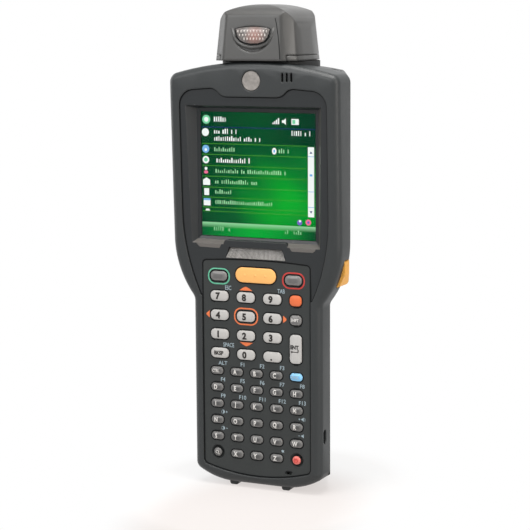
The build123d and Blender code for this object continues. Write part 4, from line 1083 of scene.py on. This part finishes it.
lightBar = {"count": 44, "bottomZ": 101.35, "topZ": 105.8, "bottomHalf": 13.6, "topHalf": 12.1,
            "footY": -17.25, "headY": -15.75, "radius": 0.3 * mm, "seed": 4}


def makeLightBar():
    width = 2 * lightBar["bottomHalf"] * mm
    length = (lightBar["topZ"] - lightBar["bottomZ"]) * mm
    mesh = growMesh("lightBarRibs", makeRibTree(), {
        "Count": lightBar["count"], "Pitch": width / (lightBar["count"] - 1), "Length": length,
        "Radius": lightBar["radius"], "Seed": lightBar["seed"], "Material": materials["lightBarPlastic"]})
    lift = (lightBar["topZ"] + lightBar["bottomZ"]) / 2 * mm
    for vert in mesh.vertices:
        share = (vert.co.z + length / 2) / length
        half = lightBar["bottomHalf"] + (lightBar["topHalf"] - lightBar["bottomHalf"]) * share
        lean = (lightBar["footY"] + (lightBar["headY"] - lightBar["footY"]) * share) * mm
        x = (vert.co.x - width / 2) * half / lightBar["bottomHalf"]
        vert.co = Vector((x, lean + vert.co.y, lift + vert.co.z))
    addPiece("lightBarRibs", mesh, "housing", ["lightBarPlastic"])


# a field of small domes, every second row moved by half a pitch
def makeDimpleTree():
    tree, entry = startTree("dimpleField", {"Columns": "Int", "Rows": "Int", "Pitch": "Float",
                            "Radius": "Float"})
    pitch = entry["Pitch"]
    grid = makeNode(tree, "GeometryNodeMeshGrid", {
        "Size X": calc(tree, "MULTIPLY", entry["Columns"], pitch),
        "Size Y": calc(tree, "MULTIPLY", entry["Rows"], pitch),
        "Vertices X": entry["Columns"], "Vertices Y": entry["Rows"]})
    place = makeNode(tree, "GeometryNodeInputPosition").outputs[0]
    height = makeNode(tree, "ShaderNodeSeparateXYZ", {0: place}).outputs["Y"]
    order = calc(tree, "ROUND", calc(tree, "DIVIDE", height, pitch), 0.0)
    odd = calc(tree, "MULTIPLY", calc(tree, "PINGPONG", order, 1.0), pitch)
    moved = makeNode(tree, "GeometryNodeSetPosition", {"Geometry": grid.outputs[0],
                     "Offset": combine(tree, calc(tree, "MULTIPLY", odd, 0.5))})
    dome = makeNode(tree, "GeometryNodeMeshIcoSphere", {"Radius": entry["Radius"], "Subdivisions": 2})
    size = randomSpan(tree, 0.8, 1.05, entry["Seed"])
    return closeTree(tree, putOnPoints(tree, moved.outputs[0], dome.outputs[0], Scale=size), entry["Material"])


lampCover = {
    "height": 198.6, "centre": -2.2, "proud": 0.65,
    # scale, growth and how far it stands proud, for each loop
    "lens": ((1.0, 0.0, -1.0), (1.0, 0.0, 0.45), (0.97, 0.0, 0.65), (0.5, 0.0, 0.77)),
    "gapShade": ((1.0, 0.55, -1.0), (1.0, 0.55, 0.3), (1.0, 0.33, 0.5), (1.0, 0.02, 0.5), (1.0, 0.02, -1.0)),
    "outline": ((7.9, 0.3), (6.9, -3.2), (5.3, -4.8), (2.6, -5.6), (-0.6, -5.7), (-3.4, -5.3), (-5.6, -4.4),
                (-6.9, -2.9), (-8.0, 0.3), (-6.0, 0.85), (-3.0, 1.2), (0.0, 1.3), (3.0, 1.2), (5.9, 0.85)),
}
lampDimples = {"columns": 13, "rows": 7, "pitch": 1.35 * mm, "radius": 0.5 * mm, "seed": 7, "inset": 0.86,
               "lift": 0.05, "wide": 0.72, "deep": 0.4, "tall": 1.25}
lampSill = {"corners": 9, "steps": ((0.75, -0.4), (0.8, 0.3), (1.9, 0.7), (2.35, 0.35), (2.4, -0.4))}


# plane of the lens face: its own point and slope
def lampPlane():
    faces = [face for face in nodes["scan_led_lens"].data.polygons if face.normal.y < -0.5]
    total = sum(face.area for face in faces)
    middle = sum((face.center * face.area for face in faces), Vector()) / total
    return middle, sum((face.normal * face.area for face in faces), Vector()).normalized()


lampMiddle, lampNormal = lampPlane()
lampBody = bodyOf("scan_led_lens")


def lampDepth(x, z, proud):
    fall = lampNormal.x * (x - lampMiddle.x) + lampNormal.z * (z - lampMiddle.z)
    return lampMiddle.y - fall / lampNormal.y - proud * mm


def lampPoints(scale, grow=0.0):
    centre = Vector((0.0, lampCover["centre"]))
    points = []
    for corner in lampCover["outline"]:
        away = Vector(corner) - centre
        reach = centre + away * scale + away.normalized() * grow
        points.append((reach.x * mm, (lampCover["height"] + reach.y) * mm))
    return points


# loops of the cover's outline, each with a scale, a growth and how far it stands proud
def lampLoops(bm, steps, count=None):
    return [[bm.verts.new((x, lampDepth(x, z, proud), z)) for x, z in lampPoints(scale, grow)[:count]]
            for scale, grow, proud in steps]


def makeLampCover():
    bm = bmesh.new()
    loops = lampLoops(bm, lampCover["lens"])
    bm.faces.new(loops[0])
    bm.faces.new(loops[-1][::-1])
    joinLoops(bm, loops)
    layPiece(bm, "lampCover", lampBody, "lampLens", ["scan_led_lens"], smooth=True)
    # painted shade: a dark band round the lens, where the gap beside it falls into shadow
    bm = bmesh.new()
    joinLoops(bm, lampLoops(bm, lampCover["gapShade"]), wrap=True)
    layPiece(bm, "lampGapShade", lampBody, "wellShadow", smooth=True)


# raised sill that runs round the lower side of the lamp
def makeLampSill():
    bm = bmesh.new()
    loops = lampLoops(bm, [(1.0, grow, proud) for grow, proud in lampSill["steps"]], lampSill["corners"])
    joinLoops(bm, loops, wrap=True, opened=True)
    bm.faces.new([loop[0] for loop in loops])
    bm.faces.new([loop[-1] for loop in loops][::-1])
    layPiece(bm, "lampSill", lampBody, "turretPlastic", smooth=True)


def insideOutline(x, z, points):
    odd = False
    for (ax, az), (bx, bz) in zip(points, points[1:] + points[:1]):
        if (az > z) != (bz > z) and x < ax + (bx - ax) * (z - az) / (bz - az):
            odd = not odd
    return odd


def findIslands(bm):
    islands, seen = [], set()
    for vert in bm.verts:
        if vert in seen:
            continue
        island, edge = [vert], [vert]
        seen.add(vert)
        while edge:
            current = edge.pop()
            for other in [link.other_vert(current) for link in current.link_edges]:
                if other not in seen:
                    seen.add(other)
                    island.append(other)
                    edge.append(other)
        islands.append(island)
    return islands


# domes are kept where they fall inside the cover, and sit on its face
def makeLampDimples():
    mesh = growMesh("lampDimples", makeDimpleTree(), {
        "Columns": lampDimples["columns"], "Rows": lampDimples["rows"], "Pitch": lampDimples["pitch"],
        "Radius": lampDimples["radius"], "Seed": lampDimples["seed"], "Material": materials["lampPipGlints"]})
    border = lampPoints(lampDimples["inset"])
    bm = bmesh.new()
    bm.from_mesh(mesh)
    for island in findIslands(bm):
        middle = sum((vert.co for vert in island), Vector()) / len(island)
        x, z = middle.x, (lampCover["height"] + lampCover["centre"]) * mm + middle.y
        if not insideOutline(x, z, border):
            bmesh.ops.delete(bm, geom=island, context="VERTS")
            continue
        face = lampDepth(x, z, lampCover["proud"] + lampDimples["lift"])
        for vert in island:
            away = vert.co - middle
            vert.co = Vector((x + away.x * lampDimples["wide"], face - away.z * lampDimples["deep"],
                              z + away.y * lampDimples["tall"]))
    layPiece(bm, "lampDimples", lampBody, "lampPipGlints", smooth=True)


makeLightBar()
makeLampCover()
makeLampDimples()
makeLampSill()
print("light bar ribs and lamp cover made")


# painted seam shade, painted sheen pads and small lips on the front, laid on the surfaces that carry them

surfaces = {}


def surfaceDepth(node, x, z):
    if node not in surfaces:
        mesh = nodes[node].data
        surfaces[node] = BVHTree.FromPolygons([vert.co for vert in mesh.vertices],
                                              [list(face.vertices) for face in mesh.polygons])
    return surfaces[node].ray_cast(Vector((x, -0.2, z)), Vector((0, 1, 0)))[0].y


seamShades = {
    # name: node, reach on the part, reach over the gap
    "surroundSeamShade": ("display_frame", 0.34 * mm, 0.1 * mm),
    "panelSeamShade": ("keypad_panel", 0.5 * mm, 0.1 * mm),
}
seamShadeRun = {"lift": 0.02 * mm, "sink": 0.3 * mm, "border": 7.5 * mm, "front": -0.6, "side": 0.35}


# painted shade: dark line along the outer front edge of a part, where the seam beside it falls into shadow
def makeSeamShade(name, node, inward, outward):
    source = mergedCopy(node)
    low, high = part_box(node)
    centre = (low + high) / 2
    away, edges = {}, []
    for edge in source.edges:
        if len(edge.link_faces) != 2:
            continue
        front, side = [face.normal for face in sorted(edge.link_faces, key=lambda face: face.normal.y)]
        middle = (edge.verts[0].co + edge.verts[1].co) / 2
        outer = (middle.x - centre.x) * side.x + (middle.z - centre.z) * side.z > 0
        rim = min(high.x - abs(middle.x), high.z - middle.z, middle.z - low.z) < seamShadeRun["border"]
        if front.y < seamShadeRun["front"] and abs(side.y) < seamShadeRun["side"] and outer and rim:
            edges.append(edge)
            for vert in edge.verts:
                away[vert] = away.get(vert, Vector()) + Vector((side.x, 0, side.z))
    bm = bmesh.new()
    rims = {}
    for vert, direction in away.items():
        direction.normalize()
        inner, outer = vert.co - direction * inward, vert.co + direction * outward
        rims[vert] = [bm.verts.new((point.x, vert.co.y + depth, point.z)) for point, depth in
                      ((inner, -seamShadeRun["lift"]), (outer, -seamShadeRun["lift"]), (outer, seamShadeRun["sink"]),
                       (inner, seamShadeRun["sink"]))]
    for edge in edges:
        joinLoops(bm, [rims[vert] for vert in edge.verts])
    source.free()
    print(name, len(edges), "edges")
    layPiece(bm, name, "housing", "wellShadow")


# a patch that follows the surface under it, from points in millimetres
def addPatch(bm, node, points, lift, sink):
    front = [bm.verts.new((x * mm, surfaceDepth(node, x * mm, z * mm) - lift * mm, z * mm)) for x, z in points]
    back = [bm.verts.new((vert.co.x, vert.co.y + (lift + sink) * mm, vert.co.z)) for vert in front]
    closeSlab(bm, back, front)


pads = {
    "lift": 0.04, "sink": 0.3,
    "outlines": (
        ((-16.2, 107.1), (-28.2, 107.1), (-27.4, 106.2), (-26.4, 105.5), (-17.2, 105.3), (-16.7, 105.9)),
        ((28.2, 107.1), (16.2, 107.1), (16.7, 106.0), (17.3, 105.5), (26.8, 105.5), (27.8, 106.3)),
    ),
}


# painted sheen: pale patches on the surround's slopes above the opening, where they catch the light
def makeSheenPads():
    bm = bmesh.new()
    for points in pads["outlines"]:
        addPatch(bm, "display_frame", points, pads["lift"], pads["sink"])
    layPiece(bm, "surroundSheenPads", "housing", "padPaintedSheen")


lip = {"inner": 26.95 * mm, "outer": 28.5 * mm, "innerY": -14.5 * mm, "outerY": -15.02 * mm,
       "backY": -14.3 * mm}


# narrow lip that carries the surround's slope down to the picture
def makeLip():
    bm = bmesh.new()
    loops = []
    for side, depth in (("outer", "backY"), ("outer", "outerY"), ("inner", "innerY"), ("inner", "backY")):
        half = lip[side]
        loops.append([bm.verts.new((x, lip[depth], picture["middle"] + z))
                      for x, z in boxPoints(-half, -half, half, half)])
    joinLoops(bm, loops, wrap=True)
    layPiece(bm, "openingLip", "housing", "lipDark")


turretSeam = {
    "half": 0.17, "lift": 0.03, "sink": 0.25,
    "line": ((10.2, 203.4), (10.9, 201.0), (11.4, 198.4), (11.9, 195.8), (12.3, 192.8), (12.7, 189.6),
             (13.0, 186.4)),
}


# dark seam down the turret's front
def makeTurretSeam():
    bm = bmesh.new()
    half = turretSeam["half"]
    for (x, z), (endX, endZ) in zip(turretSeam["line"], turretSeam["line"][1:]):
        addPatch(bm, "turret_cover", ((x + half, z), (x - half, z), (endX - half, endZ), (endX + half, endZ)),
                 turretSeam["lift"], turretSeam["sink"])
    layPiece(bm, "turretSeam", bodyOf("turret_cover"), "wellShadow")


for seamShadeName, seamShadeValues in seamShades.items():
    makeSeamShade(seamShadeName, *seamShadeValues)
makeSheenPads()
makeLip()
makeTurretSeam()
print("seals, pads and lip laid")


# display

# blocks in a row that stand for a line of writing
def makeWordTree():
    tree, entry = startTree("writingBlocks", {"Count": "Int", "Pitch": "Float", "Height": "Float",
                            "Stroke": "Float"})
    block = makeNode(tree, "GeometryNodeMeshGrid", {
        "Size X": calc(tree, "MULTIPLY", entry["Pitch"], entry["Stroke"]), "Size Y": entry["Height"],
        "Vertices X": 2, "Vertices Y": 2})
    stood = makeNode(tree, "GeometryNodeTransform", {"Geometry": block.outputs[0],
                     "Translation": combine(tree, y=calc(tree, "MULTIPLY", entry["Height"], 0.5))})
    tall = randomSpan(tree, 0.5, 1.0, entry["Seed"])
    girth = randomSpan(tree, 0.6, 1.25, calc(tree, "ADD", entry["Seed"], 40))
    there = makeNode(tree, "FunctionNodeRandomValue", {"Probability": 0.86,
                     "Seed": calc(tree, "ADD", entry["Seed"], 90)}, data_type="BOOLEAN")
    laid = putOnPoints(tree, pointRow(tree, entry), stood.outputs[0], Selection=there.outputs[3],
                       Scale=combine(tree, girth, tall, 1.0))
    return closeTree(tree, laid, entry["Material"])


def picturePoint(u, v, layer=0):
    half = picture["size"] / 2
    return Vector((-half + picture["size"] * u, picture["depth"] - layer * 0.01 * mm,
                   picture["middle"] + half - picture["size"] * v))


# outlines on the picture, in u and v

def quadSpan(u0, v0, u1, v1):
    return (u0, v1), (u1, v1), (u1, v0), (u0, v0)


def discSpan(u, v, radius, squash=1.0):
    return [(u + radius * math.cos(math.tau * k / 20), v + radius * squash * math.sin(math.tau * k / 20))
            for k in range(20)][::-1]


def shapeSpan(u, v, *points):
    return [(u + a, v + b) for a, b in points]


dividers = (0.253, 0.340, 0.430, 0.517, 0.605, 0.687, 0.768, 0.800)
pictureMarks = (
    # finish, layer, outline
    ("glowBackdrop", 0, quadSpan(0, 0, 1, 1)),
    ("glowBottomBar", 1, quadSpan(0, picture["barStart"], 1, 1)),
    ("glowBlueLine", 1, quadSpan(0, picture["titleEnd"], 1, picture["titleEnd"] + 0.008)),
    *(("glowLine", 1, quadSpan(0.005, v, 0.925, v + 0.006)) for v in dividers),
    # round and square icons down the left side
    ("glowMint", 1, discSpan(0.045, 0.062, 0.036)),
    ("glowWhite", 2, discSpan(0.045, 0.062, 0.02)),
    ("glowWhite", 1, discSpan(0.036, 0.165, 0.032)),
    ("glowSky", 1, discSpan(0.038, 0.300, 0.032)),
    ("glowWhite", 2, discSpan(0.038, 0.306, 0.012)),
    ("glowWhite", 1, discSpan(0.038, 0.387, 0.030)),
    ("glowMint", 2, discSpan(0.038, 0.387, 0.016)),
    ("glowWhite", 1, discSpan(0.038, 0.458, 0.013)),
    ("glowPink", 1, discSpan(0.038, 0.487, 0.019, 0.7)),
    ("glowWhite", 1, shapeSpan(0.042, 0.562, (-0.032, 0.03), (0.032, 0.03), (0.032, -0.012), (0, -0.032),
                               (-0.032, -0.012))),
    ("glowWhite", 1, quadSpan(0.020, 0.618, 0.064, 0.674)),
    ("glowWhite", 1, quadSpan(0.014, 0.700, 0.076, 0.758)),
    ("glowSky", 2, quadSpan(0.014, 0.700, 0.076, 0.716)),
    ("glowWhite", 2, shapeSpan(0.05, 0.792, (-0.022, 0.008), (0.022, 0.008), (0.012, -0.008),
                               (-0.012, -0.008))),
    # state marks in the title bar: bars, horn, cell
    *(("glowWhite", 1, quadSpan(0.63 + 0.016 * k, 0.088 - 0.012 * (k + 1), 0.641 + 0.016 * k, 0.088))
      for k in range(4)),
    ("glowWhite", 1, shapeSpan(0.735, 0.066, (-0.022, 0.01), (-0.008, 0.01), (0.012, 0.026), (0.012, -0.026),
                               (-0.008, -0.01), (-0.022, -0.01))),
    ("glowWhite", 1, quadSpan(0.795, 0.044, 0.858, 0.090)),
    ("glowMint", 2, quadSpan(0.803, 0.052, 0.828, 0.082)),
    ("glowWhite", 1, discSpan(0.645, 0.302, 0.020, 1.3)),
    ("glowSky", 2, discSpan(0.645, 0.302, 0.008, 1.6)),
    # scroll bar
    ("glowWhite", 1, quadSpan(0.935, 0.262, 0.988, 0.815)),
    ("glowInk", 2, shapeSpan(0.9615, 0.305, (-0.012, 0.008), (0.012, 0.008), (0, -0.010))),
    ("glowInk", 2, shapeSpan(0.9615, 0.775, (0.012, -0.008), (-0.012, -0.008), (0, 0.010))),
    ("glowSky", 2, quadSpan(0.950, 0.475, 0.973, 0.492)),
    *(("glowSky", 2, quadSpan(0.935, v, 0.988, v + 0.004)) for v in (0.335, 0.612, 0.735)),
    # two small marks above the bottom bar
    ("glowViolet", 1, discSpan(0.862, 0.862, 0.022)),
    ("glowWhite", 2, discSpan(0.866, 0.850, 0.010)),
    ("glowPink", 1, discSpan(0.938, 0.858, 0.024)),
    ("glowViolet", 2, discSpan(0.938, 0.858, 0.010)),
)
writing = (
    # left u, middle v, width in u, height in v, finish
    (0.11, 0.062, 0.11, 0.040, "glowWhite"),
    (0.11, 0.158, 0.20, 0.040, "glowWhite"),
    (0.11, 0.215, 0.41, 0.040, "glowWhite"),
    (0.79, 0.160, 0.19, 0.040, "glowWhite"),
    (0.11, 0.302, 0.19, 0.036, "glowPale"),
    (0.68, 0.302, 0.09, 0.036, "glowPale"),
    (0.11, 0.390, 0.33, 0.040, "glowWhite"),
    (0.12, 0.476, 0.63, 0.034, "glowPale"),
    (0.115, 0.563, 0.38, 0.034, "glowPale"),
    (0.115, 0.645, 0.16, 0.034, "glowPale"),
    (0.115, 0.728, 0.52, 0.034, "glowPale"),
    (0.10, 0.945, 0.18, 0.034, "glowPale"),
    (0.71, 0.945, 0.18, 0.034, "glowPale"),
)
script = {"pitch": 0.019 * picture["size"], "stroke": 0.55, "height": 1.05, "drop": 0.42}
litFinishes = ["glowBackdrop", "glowBottomBar", "glowLine", "glowBlueLine", "glowWhite", "glowSky", "glowMint",
               "glowPink", "glowViolet", "glowInk", "glowPale"]


def addWriting(bm, tree, index, u, v, width, height, finish):
    size, pitch = picture["size"], script["pitch"]
    words = growMesh("writing", tree, {
        "Count": max(2, round(width * size / pitch)), "Pitch": pitch,
        "Height": height * script["height"] * size, "Stroke": script["stroke"],
        "Seed": index, "Material": materials[finish]})
    firstVert, firstFace = len(bm.verts), len(bm.faces)
    bm.from_mesh(words)
    bpy.data.meshes.remove(words)
    bm.verts.ensure_lookup_table()
    bm.faces.ensure_lookup_table()
    corner = picturePoint(u, v, 1)
    for vert in bm.verts[firstVert:]:
        vert.co = Vector((corner.x + pitch / 2 + vert.co.x, corner.y,
                          corner.z - height * script["drop"] * size + vert.co.y))
    for face in bm.faces[firstFace:]:
        face.material_index = litFinishes.index(finish)


def makePicture():
    bm = bmesh.new()
    for finish, layer, outline in pictureMarks:
        face = bm.faces.new([bm.verts.new(picturePoint(u, v, layer)) for u, v in outline])
        face.material_index = litFinishes.index(finish)
    tree = makeWordTree()
    for index, row in enumerate(writing):
        addWriting(bm, tree, index, *row)
    bm.normal_update()
    for face in bm.faces:
        if face.normal.y > 0:
            face.normal_flip()
    addPiece("displayPicture", meshFrom(bm, "displayPicture"), "housing", litFinishes)


displayPane = {"half": 30.4 * mm, "corner": 1.2 * mm, "front": -14.4 * mm, "back": -14.22 * mm,
               "maskFront": -14.2 * mm, "maskBack": -14.16 * mm, "overlap": 0.1 * mm}


def makeDisplay():
    half, corner, middle = displayPane["half"], displayPane["corner"], picture["middle"]
    bm = bmesh.new()
    addPlate(bm, [(x, middle + z) for x, z in outlinePoints(2 * half, 2 * half, corner)],
             displayPane["front"], displayPane["back"])
    layPiece(bm, "displayPane", "housing", "displayGlass", ["display_window"])
    bm = bmesh.new()
    addBand(bm, (0, middle), 2 * half, 2 * half, corner, half - picture["size"] / 2 - displayPane["overlap"],
            displayPane["maskFront"], displayPane["maskBack"])
    layPiece(bm, "displayMask", "housing", "blackMask")
    dressNode("lcd_panel", "displayCell", "blackMask")


makePicture()
makeDisplay()
print("display built")


# floor, world

floorTable = {
    "size": 6.0, "under": 0.00005, "least": 0.74, "gloss": 0.7, "shine": 0.15,
    "low": (0.74, 0.725, 0.72, 1.0), "high": (0.76, 0.745, 0.74, 1.0), "shadowTintGlow": (0.87, 0.815, 0.79, 1.0),
    # ellipses: centre, reach, where the fade starts; inside the tint ellipse the floor is painted a warm shadow
    # tone
    "tint": ((0.012, -0.05, 0.0), (0.055, 0.085, 1.0), 0.5),
    "shade": ((0.004, -0.015, 0.0), (0.068, 0.085, 1.0), 0.35),
}
white = (1, 1, 1, 1)


def seenRays(tree):
    path = makeNode(tree, "ShaderNodeLightPath").outputs
    both = calc(tree, "MAXIMUM", path["Is Camera Ray"], path["Is Glossy Ray"])
    return calc(tree, "MAXIMUM", both, path["Is Transmission Ray"])


# 0 inside an ellipse on the floor, 1 outside it
def ellipseFade(tree, place, centre, reach, start):
    moved = makeNode(tree, "ShaderNodeVectorMath", {0: place, 1: centre}, operation="SUBTRACT")
    scaled = makeNode(tree, "ShaderNodeVectorMath", {0: moved.outputs[0], 1: reach}, operation="DIVIDE")
    away = makeNode(tree, "ShaderNodeVectorMath", {0: scaled.outputs[0]}, operation="LENGTH").outputs["Value"]
    return mapSpan(tree, away, start, 1.0, interpolation_type="SMOOTHSTEP")


def makeFloor():
    bm = bmesh.new()
    bmesh.ops.create_grid(bm, x_segments=4, y_segments=4, size=floorTable["size"])
    for vert in bm.verts:
        vert.co.z = -floorTable["under"]
    tree, place = startMaterial("paleTable")
    mottle = noise(tree, place, scale=30.0, detail=3.0)
    closeMaterial(tree, {"Base Color": blendColours(tree, mottle, floorTable["low"], floorTable["high"]),
                  "Roughness": floorTable["gloss"], "Specular IOR Level": floorTable["shine"]})
    # painted shadow: a warm pale tone in front of the object, fading to white outside the tint ellipse
    paintedShadowFade = ellipseFade(tree, place, *floorTable["tint"])
    shaded = ellipseFade(tree, place, *floorTable["shade"])
    pale = blendColours(tree, paintedShadowFade, floorTable["shadowTintGlow"], white)
    shadowTintGlow = makeNode(tree, "ShaderNodeEmission", {"Color": pale, "Strength": 1.0})
    factor = calc(tree, "MULTIPLY", calc(tree, "MAXIMUM", shaded, floorTable["least"]), seenRays(tree))
    mixed = makeNode(tree, "ShaderNodeMixShader", {0: factor, 1: tree.nodes["Principled BSDF"].outputs[0],
                     2: shadowTintGlow.outputs[0]})
    tree.links.new(mixed.outputs[0], tree.nodes["Material Output"].inputs["Surface"])
    mesh = meshFrom(bm, "floor")
    mesh.materials.append(materials["paleTable"])
    floor = bpy.data.objects.new("floor", mesh)
    scene.collection.objects.link(floor)


ambient = 0.3


# soft white light, and a plain white room where the camera or a reflection looks
def makeWorld():
    world = bpy.data.worlds.new("studio")
    world.use_nodes = True
    scene.world = world
    tree = world.node_tree
    tree.nodes.clear()
    soft = makeNode(tree, "ShaderNodeBackground", {"Color": white, "Strength": ambient})
    room = makeNode(tree, "ShaderNodeBackground", {"Color": white, "Strength": 1.0})
    mixed = makeNode(tree, "ShaderNodeMixShader", {0: seenRays(tree), 1: soft.outputs[0], 2: room.outputs[0]})
    makeNode(tree, "ShaderNodeOutputWorld", {"Surface": mixed.outputs[0]})


makeCamera()
makeLamps()
makeFloor()
makeWorld()
scene.view_settings.view_transform = "Standard"
print("camera, lamps, floor and world set")
